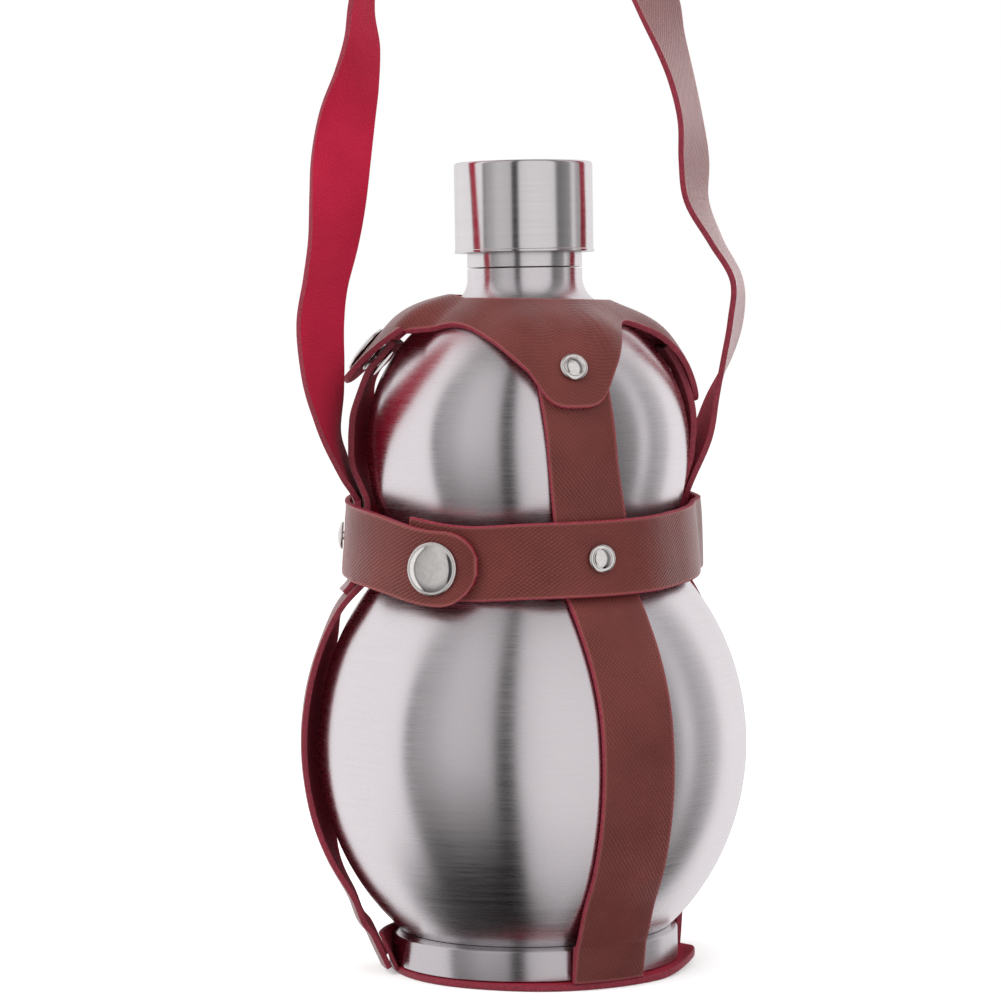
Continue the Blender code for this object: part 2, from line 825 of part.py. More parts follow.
def flap_half(azimuth):
    """Half width of the belt's flap; its end is round."""
    half = BELT_WIDTH / 2
    reach = math.radians(FLAP_END - azimuth) * (BELT_FREE_RADIUS + SNAP_SPACE + LEATHER)
    if reach >= half:
        return half
    from_centre = half - max(reach, half * 0.03)
    return math.sqrt(half * half - from_centre * from_centre)


def make_belt():
    count = 1 + round((BAND_END - BAND_START) / 6.5)
    steady = lambda azimuth: BELT_WIDTH / 2
    band = belt_sheet("belt_band", spread(BAND_START, BAND_END, count), band_middle, belt_radius, steady)
    body = spread(BELT_FOLD, FLAP_END - 12.0, 10)
    tip = [FLAP_END - turn for turn in (9.5, 7.0, 5.0, 3.2, 1.7, 0.7, 0.0)]
    flap = belt_sheet("belt_flap", body + tip, flap_middle, flap_radius, flap_half)
    return band, flap


# Base disc under the foot
def make_base():
    half = BASE_ROUND
    disc = lathe(
        "base_disc",
        [
            (0, 0),
            (BASE_RADIUS - half, 0),
            (BASE_RADIUS, half),
            (BASE_RADIUS, BASE_THICKNESS - half),
            (BASE_RADIUS - half, BASE_THICKNESS),
            (0, BASE_THICKNESS),
        ],
        RED,
    )
    disc.data.transform(Matrix.Translation((BASE_RIGHTWARD, BASE_BACKWARD, 0)))
    for strap in STRAPS:
        tab = make_tab(strap)
        tab.hide_render = True
        tab.display_type = "WIRE"
        join = disc.modifiers.new(tab.name, "BOOLEAN")
        join.operation = "UNION"
        join.solver = "EXACT"
        join.object = tab


def make_tab(strap):
    """A strip of the disc turned up inside a strap's foot."""
    inner = []
    outer = []
    half = math.degrees(TAB_WIDTH / 2 / FOOT_RADIUS)
    for side in spread(-1.0, 1.0, 4):
        rows = []
        for inset in (TAB_THICKNESS, 0):
            row = []
            for height in (BASE_THICKNESS / 2, TAB_HEIGHT):
                radius = foot_radius(strap, height) - 2.0 * LAYER_GAP - inset
                row.append(place(strap.bottom + side * half, radius, height))
            rows.append(row)
        inner.append(rows[0])
        outer.append(rows[1])
    return sheet("tab_" + strap.name, inner, outer, RED)


# Shoulder strap
def held_place(strap, height):
    """Middle of the shoulder strap where it lies on a strap under the belt."""
    radius = over_strap(strap, height, 1) + HELD_ROOM + LEATHER / 2
    return place(strap_azimuth(strap, height), radius, height)


def make_shoulder_strap():
    """A flat strap along its route, bent round the flask where the belt holds its ends."""
    left_heights = [SHOULDER_TAIL_LEFT] + SHOULDER_HELD
    right_heights = SHOULDER_HELD[:0:-1] + [SHOULDER_TAIL_RIGHT]
    places = [held_place(LEFT, height) for height in left_heights]
    turns = [Vector((strap_azimuth(LEFT, height) + 90.0, 0, 0)) for height in left_heights]
    places += [Vector(row[:3]) * MM for row in SHOULDER_ROUTE]
    turns += [Vector((row[3], 0, 0)) for row in SHOULDER_ROUTE]
    places += [held_place(RIGHT, height) for height in right_heights]
    turns += [Vector((strap_azimuth(RIGHT, height) - 90.0, 0, 0)) for height in right_heights]
    shares = spread(0.0, 1.0, SHOULDER_STEPS)
    middle = [through(places, share) for share in shares]
    inner = []
    outer = []
    for index, share in enumerate(shares):
        ahead = middle[min(index + 1, len(middle) - 1)] - middle[max(index - 1, 0)]
        ahead.normalize()
        edge = outward(through(turns, share).x)
        normal = edge.cross(ahead).normalized()
        edge = ahead.cross(normal)
        held = 1.0 - smooth(middle[index].z, BELT_HEIGHT + BELT_WIDTH * 0.6, BELT_HEIGHT + BELT_WIDTH * 1.4)
        inner_row = []
        outer_row = []
        for side in spread(-1.0, 1.0, 4):
            reach = side * SHOULDER_WIDTH / 2
            bow = held * reach * reach / (2.0 * (waist_radius(middle[index].z) + LEATHER))
            point = middle[index] + edge * reach - normal * bow
            inner_row.append(point - normal * (LEATHER / 2))
            outer_row.append(point + normal * (LEATHER / 2))
        inner.append(inner_row)
        outer.append(outer_row)
    return sheet("shoulder_strap", inner, outer, BROWN)


# Rivets and snaps, made along +Z with the leather's outer face at height zero
def rivet(name, stack):
    tail = -stack - HOLE_PLAY - BEND_ROOM
    return lathe(
        name,
        [
            (0, HOLE_PLAY + RIVET_DOME),
            (RIVET_RADIUS * 0.55, HOLE_PLAY + RIVET_DOME * 0.88),
            (RIVET_RADIUS * 0.88, HOLE_PLAY + RIVET_DOME * 0.55),
            (RIVET_RADIUS, HOLE_PLAY + RIVET_DOME * 0.2),
            (RIVET_RADIUS * 0.96, HOLE_PLAY),
            (RIVET_SHANK, HOLE_PLAY),
            (RIVET_SHANK, tail),
            (RIVET_TAIL_RADIUS, tail),
            (RIVET_TAIL_RADIUS, tail - RIVET_TAIL),
            (0, tail - RIVET_TAIL),
        ],
        POLISHED,
        RIVET_SIDES,
    )


def snap_cap(name):
    return lathe(
        name,
        [
            (0, HOLE_PLAY + SNAP_DOME),
            (SNAP_RADIUS * 0.45, HOLE_PLAY + SNAP_DOME * 0.93),
            (SNAP_RADIUS * 0.8, HOLE_PLAY + SNAP_DOME * 0.7),
            (SNAP_RADIUS - SNAP_RIM, HOLE_PLAY + SNAP_DOME * 0.42),
            (SNAP_RADIUS, HOLE_PLAY + SNAP_RIM),
            (SNAP_RADIUS - SNAP_RIM / 2, HOLE_PLAY),
            (SNAP_SHANK, HOLE_PLAY),
            (SNAP_SHANK, -LEATHER),
            (0, -LEATHER),
        ],
        POLISHED,
        RIVET_SIDES + HOLE_SIDES,
    )


def snap_socket(name):
    top = -LEATHER - HOLE_PLAY - BEND_ROOM
    low = top - SOCKET_THICKNESS
    return lathe(
        name,
        [
            (0, top),
            (SOCKET_RADIUS - SOCKET_ROOF, top),
            (SOCKET_RADIUS, top - SOCKET_ROOF),
            (SOCKET_RADIUS, low),
            (SOCKET_MOUTH, low),
            (SOCKET_MOUTH, top - SOCKET_ROOF),
            (0, top - SOCKET_ROOF),
        ],
        POLISHED,
        RIVET_SIDES,
    )


def snap_stud(name):
    """Its flange lies on the lower leather, whose outer face is at height zero here."""
    flange = HOLE_PLAY + STUD_FLANGE
    return lathe(
        name,
        [
            (0, flange + STUD_RISE),
            (STUD_KNOB * 0.85, flange + STUD_RISE),
            (STUD_KNOB, flange + STUD_RISE * 0.7),
            (STUD_KNOB * 0.9, flange),
            (STUD_RADIUS, flange),
            (STUD_RADIUS, HOLE_PLAY),
            (SNAP_SHANK, HOLE_PLAY),
            (SNAP_SHANK, -LEATHER),
            (0, -LEATHER),
        ],
        POLISHED,
        RIVET_SIDES,
    )


def snap_back(name):
    top = -LEATHER - HOLE_PLAY - BEND_ROOM
    return lathe(
        name,
        [
            (0, top),
            (STUD_RADIUS, top),
            (STUD_RADIUS, top - SNAP_BACK),
            (0, top - SNAP_BACK),
        ],
        POLISHED,
        RIVET_SIDES,
    )


def lean_direction(azimuth):
    return (outward(azimuth) + Vector((0, 0, WAIST_LEAN))).normalized()


def sloped(azimuth, slope):
    """A direction with an azimuth, from its parts along the radius and along the height."""
    return outward(azimuth) * slope.x + Vector((0, 0, slope.y))


def build():
    clear_scene()
    make_flask()
    make_cap()
    make_base()
    straps = {strap.name: make_strap(strap) for strap in STRAPS}
    crown = make_crown()
    flap = make_crown_flap()
    band, belt_flap = make_belt()
    shoulder_strap = make_shoulder_strap()
    hole = RIVET_SHANK + HOLE_PLAY

    for strap, place_name in ((FRONT, "front"), (RIGHT, "right"), (BACK, "back")):
        azimuth = strap_azimuth(strap, CROWN_RIVET_HEIGHT)
        tilt = tilt_at(UPPER, CROWN_RIVET_HEIGHT)
        point = crown_surface(azimuth, tilt, LEATHER)
        normal = bulb_point(UPPER, tilt, LEATHER) - bulb_point(UPPER, tilt, 0)
        direction = sloped(azimuth, normal).normalized()
        piece = rivet("crown_rivet_" + place_name, 2 * LEATHER + LAYER_GAP)
        stand(piece, point, direction)
        drill(crown, point - direction * (LEATHER / 2), direction, hole)
        drill(straps[strap.name], point - direction * (LEATHER * 1.5 + LAYER_GAP), direction, hole)

    for strap, place_name in ((FRONT, "front"), (RIGHT, "right"), (BACK, "back"), (LEFT, "left")):
        azimuth = strap_azimuth(strap, BELT_HEIGHT)
        height = band_middle(azimuth)
        azimuth = strap_azimuth(strap, height)
        point = place(azimuth, belt_radius(azimuth, height) + LEATHER, height)
        direction = lean_direction(azimuth)
        layers = 3 if strap.doubled else 2
        pitch = LEATHER + LAYER_GAP + (HELD_ROOM if strap.doubled else 0.0)
        piece = rivet("belt_rivet_" + place_name, (layers - 1) * pitch + LEATHER)
        stand(piece, point, direction)
        pieces = [band, straps[strap.name]]
        if strap.doubled:
            pieces.insert(1, shoulder_strap)
        for layer, leather in enumerate(pieces):
            drill(leather, point - direction * (LEATHER / 2 + layer * pitch), direction, hole)

    azimuth = LEFT.top
    normal = sloped(azimuth, flap_normal())
    radius, height = flap_point(SNAP_PLACE, LEATHER)
    point = place(azimuth, radius, height)
    below = point - normal * (LEATHER + SNAP_SPACE)
    fasten_snap("crown", point, below, normal, flap, straps["strap_left"])
    radius, height = flap_point(0, LEATHER)
    hinge = place(azimuth, radius, height)
    hang(flap, hinge, "crown")

    height = flap_middle(SNAP_AZIMUTH)
    normal = lean_direction(SNAP_AZIMUTH)
    point = place(SNAP_AZIMUTH, flap_radius(SNAP_AZIMUTH, height) + LEATHER, height)
    below = point - normal * (LEATHER + SNAP_SPACE)
    fasten_snap("belt", point, below, normal, belt_flap, band)
    height = flap_middle(BELT_FOLD)
    hinge = place(BELT_FOLD, flap_radius(BELT_FOLD, height) + LEATHER, height)
    hang(belt_flap, hinge, "belt")


CROWN_RIVET_HEIGHT = 172.0 * MM


def fasten_snap(name, point, below, normal, upper_leather, lower_leather):
    stand(snap_cap(name + "_snap_cap"), point, normal)
    stand(snap_socket(name + "_snap_socket"), point, normal)
    stand(snap_stud(name + "_snap_stud"), below, normal)
    stand(snap_back(name + "_snap_back"), below, normal)
    hole = SNAP_SHANK + HOLE_PLAY
    drill(upper_leather, point - normal * (LEATHER / 2), normal, hole)
    drill(lower_leather, below - normal * (LEATHER / 2), normal, hole)


def hang(flap, hinge, name):
    """Gives a flap and its half of the snap the hinge line as their origin."""
    pivot(flap, hinge)
    for half in ("_snap_cap", "_snap_socket"):
        pivot(bpy.data.objects[name + half], hinge)


build()
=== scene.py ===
"""The looks of a double-bulb steel flask in a leather harness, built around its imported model.

Metres, +Z up. Azimuths are in degrees, from the front (-Y) towards +X.
"""

import math
from collections import namedtuple

import bmesh
import bpy
from mathutils import Matrix, Vector, noise


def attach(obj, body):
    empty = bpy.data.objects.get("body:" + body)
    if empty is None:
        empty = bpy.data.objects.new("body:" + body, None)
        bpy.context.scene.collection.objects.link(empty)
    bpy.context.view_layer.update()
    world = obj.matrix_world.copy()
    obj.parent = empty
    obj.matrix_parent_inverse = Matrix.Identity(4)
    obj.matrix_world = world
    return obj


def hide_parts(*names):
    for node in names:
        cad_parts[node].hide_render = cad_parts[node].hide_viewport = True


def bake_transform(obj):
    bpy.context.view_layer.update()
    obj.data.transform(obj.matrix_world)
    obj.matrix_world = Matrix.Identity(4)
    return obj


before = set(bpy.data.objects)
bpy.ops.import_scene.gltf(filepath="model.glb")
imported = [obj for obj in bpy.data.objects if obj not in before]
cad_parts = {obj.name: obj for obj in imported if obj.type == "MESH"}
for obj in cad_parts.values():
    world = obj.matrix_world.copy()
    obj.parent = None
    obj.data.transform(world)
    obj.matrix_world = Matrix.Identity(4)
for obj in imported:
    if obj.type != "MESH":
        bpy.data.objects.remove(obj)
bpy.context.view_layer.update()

MM = 0.001

# Fineness: points round a lathed piece and the disc, and rows down each strap
LATHE_SIDES = 192
DISC_SIDES = 160
STRAP_ROWS = 190
SHOULDER_ROWS = 340

# Flask, as in the model's source
WALL = 0.8 * MM
BASE_THICKNESS = 2.0 * MM
GAP = 0.3 * MM
LAYER_GAP = 0.3 * MM
NECK_RADIUS = 16.6 * MM
NECK_FILLET = 8.0 * MM
SHOULDER_TOP = 202.7 * MM
WAIST_HEIGHT = 120.0 * MM
HEEL_HEIGHT = 9.0 * MM
HEEL_RADIUS = 21.9 * MM
PUNT_RISE = 2.2 * MM
FOOT_RADIUS = 41.5 * MM
FOOT_HEIGHT = 8.6 * MM
FOOT_LIP = 0.8 * MM
FOOT_WALL = 1.2 * MM
CAP_RADIUS = 20.0 * MM
CAP_HEIGHT = 26.0 * MM
CAP_WALL = 0.8 * MM
CAP_CLEARANCE = 4.6 * MM
NECK_BORE = 13.6 * MM
NECK_STEP = 5.5 * MM
THREAD_RADIUS = 15.0 * MM
THREAD_PLAY = 0.5 * MM
THREAD_PITCH = 4.0 * MM
NECK_RIDGE = 0.4 * MM
LINER_RIDGE = 0.35 * MM
RIM_HEIGHT = 222.6 * MM
SEAL_THICKNESS = 2.0 * MM
SEAL_BORE = 10.0 * MM

# Leather
LEATHER = 1.7 * MM
STRAP_TOP_WIDTH = 20.0 * MM
STRAP_WIDTH = 22.0 * MM
STRAP_WAIST_RADIUS = 47.7 * MM
WAIST_LEAN = 0.065
DRIFT_TOP = 185.0 * MM
DRIFT_BOTTOM = 75.0 * MM
RIGHT_TUCK = 2.0 * MM
LEFT_TWIST = 3.2 * MM
LEFT_SWAY = 4.0
STRAP_REACH = 2.4 * MM
BASE_RADIUS = 45.0 * MM
BASE_MIDDLE = Vector((1.5, 0.8, 0.0)) * MM
DISC_TRIM = 1.5 * MM
CURL_WIDTH = 4.0 * MM
CURL_RISE = 2.2 * MM
DENT_DEPTH = 0.35 * MM
STRAP_RIPPLE = (16.0 * MM, 0.12 * MM)
BELT_RIPPLE = (14.0 * MM, 0.14 * MM)
TRIM_REACH = (-105.0, -75.0, -25.0, 12.0)
CURL_REACH = (48.0, 78.0, 86.0, 118.0)
FLAP_SPREAD = 45.0
HATCH_ANGLE = 56.0
TAB_HEIGHT = 12.6 * MM
TAB_WIDTH = 20.0 * MM
TAB_THICKNESS = 1.4 * MM
RIVET_ROOM = 1.2 * MM
RIVET_ROOM_HEIGHT = 162.0 * MM
CROWN_HEIGHT = 178.0 * MM
CROWN_RIVET_HEIGHT = 172.0 * MM
FOLD_TILT = 40.5
FOLD_OFFSET = 5.3 * MM
FLAP_SLOPE = 49.5
FLAP_LENGTH = 19.8 * MM
CROWN_SEAM = 148.0
CROWN_HOLE_TILT = 61.6
CROWN_HOLE_SLANT = 1.8
BELT_HEIGHT = 125.5 * MM
BELT_WIDTH = 21.0 * MM
BELT_FREE_RADIUS = 47.6 * MM
BELT_NOD = 4.0 * MM
BELT_ROLL = 0.8 * MM
BAND_DIP = 1.6 * MM
FLAP_DIP = 3.2 * MM
SNAP_TIP = 6.0
SNAP_AZIMUTH = -30.5
BAND_START = -44.0
BAND_END = 279.5
BELT_FOLD = -79.8
FLAP_END = -16.5
LOBE_REACH = (15.0, 42.0)
FLAP_REACH = (27.0, 46.0)
LOBE_SETTLE = (37.0, 61.0)
FLAP_SETTLE = (43.0, 72.0)
SINGLE_REACH = (15.5, 38.0)
DOUBLED_REACH = (14.0, 28.0)
SHOULDER_WIDTH = 18.0 * MM
HELD_ROOM = 0.38 * MM

# Fasteners
RIVET_RADIUS = 4.0 * MM
RIVET_DOME = 1.5 * MM
RIVET_SHANK = 1.3 * MM
RIVET_TAIL_RADIUS = 3.2 * MM
RIVET_TAIL = 0.6 * MM
HOLE_PLAY = 0.15 * MM
SNAP_RADIUS = 7.5 * MM
SNAP_DOME = 1.5 * MM
SNAP_SHANK = 1.7 * MM
SOCKET_RADIUS = 5.0 * MM
SOCKET_THICKNESS = 0.9 * MM
BACK_THICKNESS = 0.4 * MM
STUD_RADIUS = 4.4 * MM
STUD_FLANGE = 0.35 * MM
SNAP_PLACE = SNAP_RADIUS + 1.2 * MM
BEND_ROOM = SOCKET_RADIUS * SOCKET_RADIUS / (2.0 * BELT_FREE_RADIUS)
SNAP_SPACE = 3.0 * HOLE_PLAY + BEND_ROOM + SOCKET_THICKNESS + STUD_FLANGE

Bulb = namedtuple("Bulb", "centre radius rise drop")
Strap = namedtuple("Strap", "name top bottom slack foot_lean doubled")
UPPER = Bulb(152.5 * MM, 46.7 * MM, 45.2 * MM, 55.0 * MM)
LOWER = Bulb(65.4 * MM, 62.3 * MM, 69.0 * MM, 69.0 * MM)
SLACK = 0.4 * MM
LOOSE_SLACK = 3.4 * MM
STRAPS = [
    Strap("strap_front", 15.7, 27.6, SLACK, 0.2, False),
    Strap("strap_right", 106.0, 124.0, SLACK, 0.12, True),
    Strap("strap_back", 190.0, 200.0, SLACK, 0.2, False),
    Strap("strap_left", -95.0, -84.5, LOOSE_SLACK, 0.45, True),
]
FRONT, RIGHT, BACK, LEFT = STRAPS

# The crown's lower edge: degrees from a lobe's middle, or shares of the way from its side to halfway
# to the next lobe, each with the tilt of the edge
TONGUE = [(0.0, 12.4), (4.5, 12.6), (7.3, 13.6), (9.4, 15.4), (11.4, 18.2), (13.4, 21.4), (15.6, 24.6)]
ARCH_SHARES = [(0.07, 27.2), (0.16, 30.6), (0.27, 34.6), (0.4, 38.6), (0.55, 42.4), (0.75, 45.8), (1.0, 47.3)]

# The shoulder strap's route: millimetres, and the azimuth to which its front edge points
SHOULDER_ROUTE = [
    (-53.4, -2.5, 145.5, -4.0), (-55.3, -6.5, 153.0, -6.0), (-56.7, -13.0, 164.6, -22.0),
    (-57.9, -18.5, 176.2, -35.0), (-58.2, -20.5, 188.0, -40.0), (-56.5, -20.5, 199.4, -37.0),
    (-54.3, -18.5, 210.9, -43.0), (-53.0, -15.5, 222.4, -53.0), (-52.0, -12.0, 234.0, -60.0),
    (-50.2, -9.0, 245.5, -54.0), (-47.3, -6.0, 257.0, -38.0), (-45.5, -3.0, 268.4, -26.0),
    (-45.6, 0.0, 279.9, -16.0), (-44.0, 0.0, 292.5, -17.0), (-39.0, 0.0, 303.5, -20.0),
    (-30.0, 0.0, 312.5, -23.0), (-17.5, 0.0, 317.5, -26.0), (-3.5, 0.0, 317.5, -30.0),
    (10.5, 0.0, 313.0, -34.0), (22.0, 0.0, 304.5, -39.0), (31.5, 0.0, 293.0, -44.0),
    (38.7, 0.5, 280.5, -46.0), (42.6, 2.0, 268.7, -32.0), (46.2, 3.5, 257.0, -24.0),
    (48.7, 5.0, 245.2, -22.0), (49.7, 6.5, 233.5, -27.0), (50.5, 8.0, 221.9, -22.0),
    (55.8, 9.5, 210.2, -14.0), (61.8, 11.0, 198.6, -11.0), (61.6, 12.5, 187.0, -13.0),
    (58.8, 14.0, 175.4, -8.0), (54.7, 15.5, 163.8, 5.0), (51.2, 16.6, 152.5, 14.0),
]
SHOULDER_TAIL_LEFT = 110.3 * MM
SHOULDER_TAIL_RIGHT = 113.3 * MM
SHOULDER_HELD = [height * MM for height in (113.5, 118.0, 123.0, 128.0, 133.0, 137.5)]

# Camera, from the photograph: pixels of its 1001 x 1001 frame
PHOTO_SIZE = 1001
FOCAL_PIXELS = 3448.0
AXIS_PIXEL = 528.45
CAMERA_PLACE = Vector((0.0, -1.0, 0.188))
CAMERA_PITCH = 3.0
CAMERA_ROLL = 0.945
SENSOR = 36.0


def link(name, data):
    thing = bpy.data.objects.new(name, data)
    bpy.context.scene.collection.objects.link(thing)
    return thing


def make_camera():
    data = bpy.data.cameras.new("camera")
    data.sensor_fit = "HORIZONTAL"
    data.sensor_width = SENSOR
    data.lens = SENSOR * FOCAL_PIXELS / PHOTO_SIZE
    camera = link("camera", data)
    aside = math.atan((AXIS_PIXEL - PHOTO_SIZE / 2) / FOCAL_PIXELS)
    turn = Matrix.Rotation(aside, 4, "Z")
    turn = turn @ Matrix.Rotation(math.radians(90.0 - CAMERA_PITCH), 4, "X")
    turn = turn @ Matrix.Rotation(math.radians(-CAMERA_ROLL), 4, "Z")
    camera.matrix_world = Matrix.Translation(CAMERA_PLACE) @ turn
    bpy.context.scene.camera = camera


make_camera()


# Small tools for the shapes
def outward(azimuth):
    turn = math.radians(azimuth)
    return Vector((math.sin(turn), -math.cos(turn), 0))


def place(azimuth, radius, height):
    return outward(azimuth) * radius + Vector((0, 0, height))


def bulb_point(bulb, tilt, offset):
    """(radius, height) on a bulb at a tilt above its widest line, moved out along its normal."""
    turn = math.radians(tilt)
    half = bulb.rise if turn >= 0 else bulb.drop
    normal = Vector((math.cos(turn) / bulb.radius, math.sin(turn) / half)).normalized()
    base = Vector((bulb.radius * math.cos(turn), bulb.centre + half * math.sin(turn)))
    return base + normal * offset


def tilt_at(bulb, height):
    half = bulb.rise if height >= bulb.centre else bulb.drop
    return math.degrees(math.asin((height - bulb.centre) / half))


def spread(first, last, count):
    return [first + (last - first) * step / (count - 1) for step in range(count)]


def smooth(value, low, high):
    share = min(max((value - low) / (high - low), 0.0), 1.0)
    return share * share * (3.0 - 2.0 * share)


def apart_from(azimuth, middle):
    return (azimuth - middle + 180.0) % 360.0 - 180.0


def through(points, share):
    """A smooth curve through vectors at equal spacing, read at a share of its way."""
    place_on = share * (len(points) - 1)
    index = min(int(place_on), len(points) - 2)
    part = place_on - index
    before = points[max(index - 1, 0)]
    start = points[index]
    end = points[index + 1]
    after = points[min(index + 2, len(points) - 1)]
    leave = (end - before) * 0.5
    arrive = (after - start) * 0.5
    square = part * part
    cube = square * part
    return (
        start * (2.0 * cube - 3.0 * square + 1.0)
        + leave * (cube - 2.0 * square + part)
        + end * (3.0 * square - 2.0 * cube)
        + arrive * (cube - square)
    )


# Node materials
class Shading:
    """A material's or world's nodes, added and linked one call at a time."""

    def __init__(self, owner):
        owner.use_nodes = True
        self.owner = owner
        self.tree = owner.node_tree

    def add(self, kind, inputs=(), **settings):
        node = self.tree.nodes.new(kind)
        for key, value in settings.items():
            setattr(node, key, value)
        for key, value in dict(inputs).items():
            self.feed(node.inputs[key], value)
        return node

    def feed(self, socket, value):
        if isinstance(value, bpy.types.NodeSocket):
            self.tree.links.new(value, socket)
        elif socket.type == "RGBA":
            socket.default_value = (*value, 1.0)
        else:
            socket.default_value = value

    def socket(self, name):
        return self.tree.nodes["Principled BSDF"].inputs[name]

    def finish(self, colour, height, depth, roughness=None):
        """Feeds the shader and gives back the material."""
        self.feed(self.socket("Base Color"), colour)
        bump = self.add("ShaderNodeBump", {"Height": height, "Distance": depth, "Strength": 1.0})
        self.feed(self.socket("Normal"), bump.outputs["Normal"])
        if roughness is not None:
            self.feed(self.socket("Roughness"), roughness)
        return self.owner

    def math(self, operation, *values):
        return self.add("ShaderNodeMath", enumerate(values), operation=operation).outputs[0]

    def times(self, one, two):
        return self.math("MULTIPLY", one, two)

    def plus(self, one, two):
        return self.math("ADD", one, two)

    def spot(self):
        return self.add("ShaderNodeTexCoord").outputs["Object"]

    def uv(self):
        return self.add("ShaderNodeUVMap").outputs["UV"]

    def noise(self, vector, scale, detail=2.0, roughness=0.5):
        inputs = {"Vector": vector, "Scale": scale, "Detail": detail, "Roughness": roughness}
        return self.add("ShaderNodeTexNoise", inputs).outputs["Fac"]

    def stretched_noise(self, vector, across, along, detail, roughness=0.5):
        inputs = {0: vector, 1: (across, across, along)}
        scaled = self.add("ShaderNodeVectorMath", inputs, operation="MULTIPLY").outputs[0]
        return self.noise(scaled, 1.0, detail, roughness)

    def wave(self, vector, scale, distortion, detail=2.0, detail_scale=1.0, direction="X"):
        inputs = {"Vector": vector, "Scale": scale, "Distortion": distortion}
        inputs.update({"Detail": detail, "Detail Scale": detail_scale})
        return self.add("ShaderNodeTexWave", inputs, bands_direction=direction).outputs["Fac"]

    def span(self, value, low, high, to_low=0.0, to_high=1.0):
        inputs = {"Value": value, 1: low, 2: high, 3: to_low, 4: to_high}
        return self.add("ShaderNodeMapRange", inputs).outputs[0]

    def ramp(self, value, stops):
        node = self.add("ShaderNodeValToRGB", {"Fac": value})
        ramp = node.color_ramp
        ramp.interpolation = "EASE"
        while len(ramp.elements) < len(stops):
            ramp.elements.new(0.5)
        for element, (position, level) in zip(ramp.elements, stops):
            element.position = position
            element.color = (level, level, level, 1.0)
        return node.outputs["Color"]

    def mix(self, factor, one, two):
        inputs = {"Factor": factor, 6: one, 7: two}
        return self.add("ShaderNodeMix", inputs, data_type="RGBA").outputs[2]


def principled(name, **values):
    """The node helper of a new material, with the constant values on its shader's sockets."""
    s = Shading(bpy.data.materials.new(name))
    for key, value in values.items():
        s.feed(s.socket(key.replace("_", " ")), value)
    return s


def brushed_steel(name, colour, roughness, brushing):
    """Steel turned and brushed round its axis: the lines follow the profile's length, kept in the UV map."""
    s = principled(name, Metallic=1.0, Anisotropic=0.85, Anisotropic_Rotation=0.25)
    tangent = s.add("ShaderNodeTangent", direction_type="RADIAL", axis="Z")
    s.feed(s.socket("Tangent"), tangent.outputs["Tangent"])
    spot = s.add("ShaderNodeSeparateXYZ", {0: s.spot()})
    along = s.add("ShaderNodeSeparateXYZ", {0: s.uv()})
    inputs = {0: spot.outputs[0], 1: spot.outputs[1], 2: along.outputs[1]}
    flat = s.add("ShaderNodeCombineXYZ", inputs).outputs[0]
    fine = s.stretched_noise(flat, 70.0, 4200.0, 3.0, 0.6)
    broad = s.stretched_noise(flat, 22.0, 900.0, 2.0)
    smudge = s.stretched_noise(flat, 18.0, 26.0, 3.0)
    lines = s.plus(s.times(fine, 0.65), s.times(broad, 0.35))
    dull = s.span(lines, 0.3, 0.7, roughness - 0.05, roughness + 0.05)
    dull = s.plus(dull, s.span(smudge, 0.35, 0.7, -0.02, 0.04))
    dark = tuple(channel * 0.93 for channel in colour)
    return s.finish(s.mix(s.span(lines, 0.35, 0.65), dark, colour), lines, brushing, dull)


def polished_nickel():
    s = principled("polished_nickel_finish", Metallic=1.0)
    spot = s.spot()
    wear = s.noise(spot, 900.0, 3.0)
    shade = s.mix(s.span(wear, 0.4, 0.7), (0.80, 0.79, 0.76), (0.72, 0.71, 0.68))
    return s.finish(shade, s.noise(spot, 350.0), 0.02 * MM, s.span(wear, 0.35, 0.7, 0.06, 0.13))


def leather_face(name, bloom, painted_sheen):
    """Brown leather with an embossed diagonal cross-hatch; the UV map is in metres on the skin.

    bloom is the haze at a shallow angle, and the last argument is how far a painted sheen greys and lightens
    the whole surface.
    """
    sheen = {"Sheen_Weight": bloom, "Sheen_Roughness": 0.35, "Sheen_Tint": (0.95, 0.78, 0.78)}
    s = principled(name, Specular_IOR_Level=0.27, **sheen)
    uv = s.uv()
    edge = s.add("ShaderNodeAttribute", attribute_name="rim", attribute_type="GEOMETRY").outputs["Fac"]
    wander = s.noise(uv, 260.0)
    bands = []
    for angle in (HATCH_ANGLE, -HATCH_ANGLE):
        inputs = {"Vector": uv, "Rotation": (0, 0, math.radians(angle))}
        turned = s.add("ShaderNodeMapping", inputs).outputs[0]
        bands.append(s.wave(turned, 330.0, 2.2, 2.0, 1.4))
    hatch = s.times(bands[0], s.plus(s.times(bands[1], 0.6), 0.4))
    patch = s.span(s.noise(uv, 38.0), 0.35, 0.65, 0.35)
    height = s.plus(s.times(hatch, patch), s.times(s.noise(uv, 2600.0), 0.35))
    height = s.plus(height, s.times(wander, 0.8))
    brown = s.mix(s.span(s.noise(uv, 55.0, 3.0), 0.3, 0.7), (0.085, 0.015, 0.012), (0.12, 0.022, 0.018))
    # Lighter on the crests of the cross-hatch and darker in its hollows: embossed colour, and painted shade
    # and highlight of the relief
    crest = s.times(s.span(hatch, 0.25, 0.75, 0.0, 0.55), patch)
    brown = s.mix(crest, brown, (0.19, 0.054, 0.046))
    # Lighter within about a millimetre of the cut edges: edge wear, and a painted highlight along the edge
    brown = s.mix(s.span(edge, 0.35, 1.1, 0.55, 0.0), brown, (0.27, 0.075, 0.07))
    # Painted sheen: the whole face lightened towards a pinkish grey, by the last argument's share
    brown = s.mix(painted_sheen, brown, (0.36, 0.23, 0.24))
    return s.finish(brown, height, 0.14 * MM, s.span(hatch, 0.0, 1.0, 0.38, 0.25))


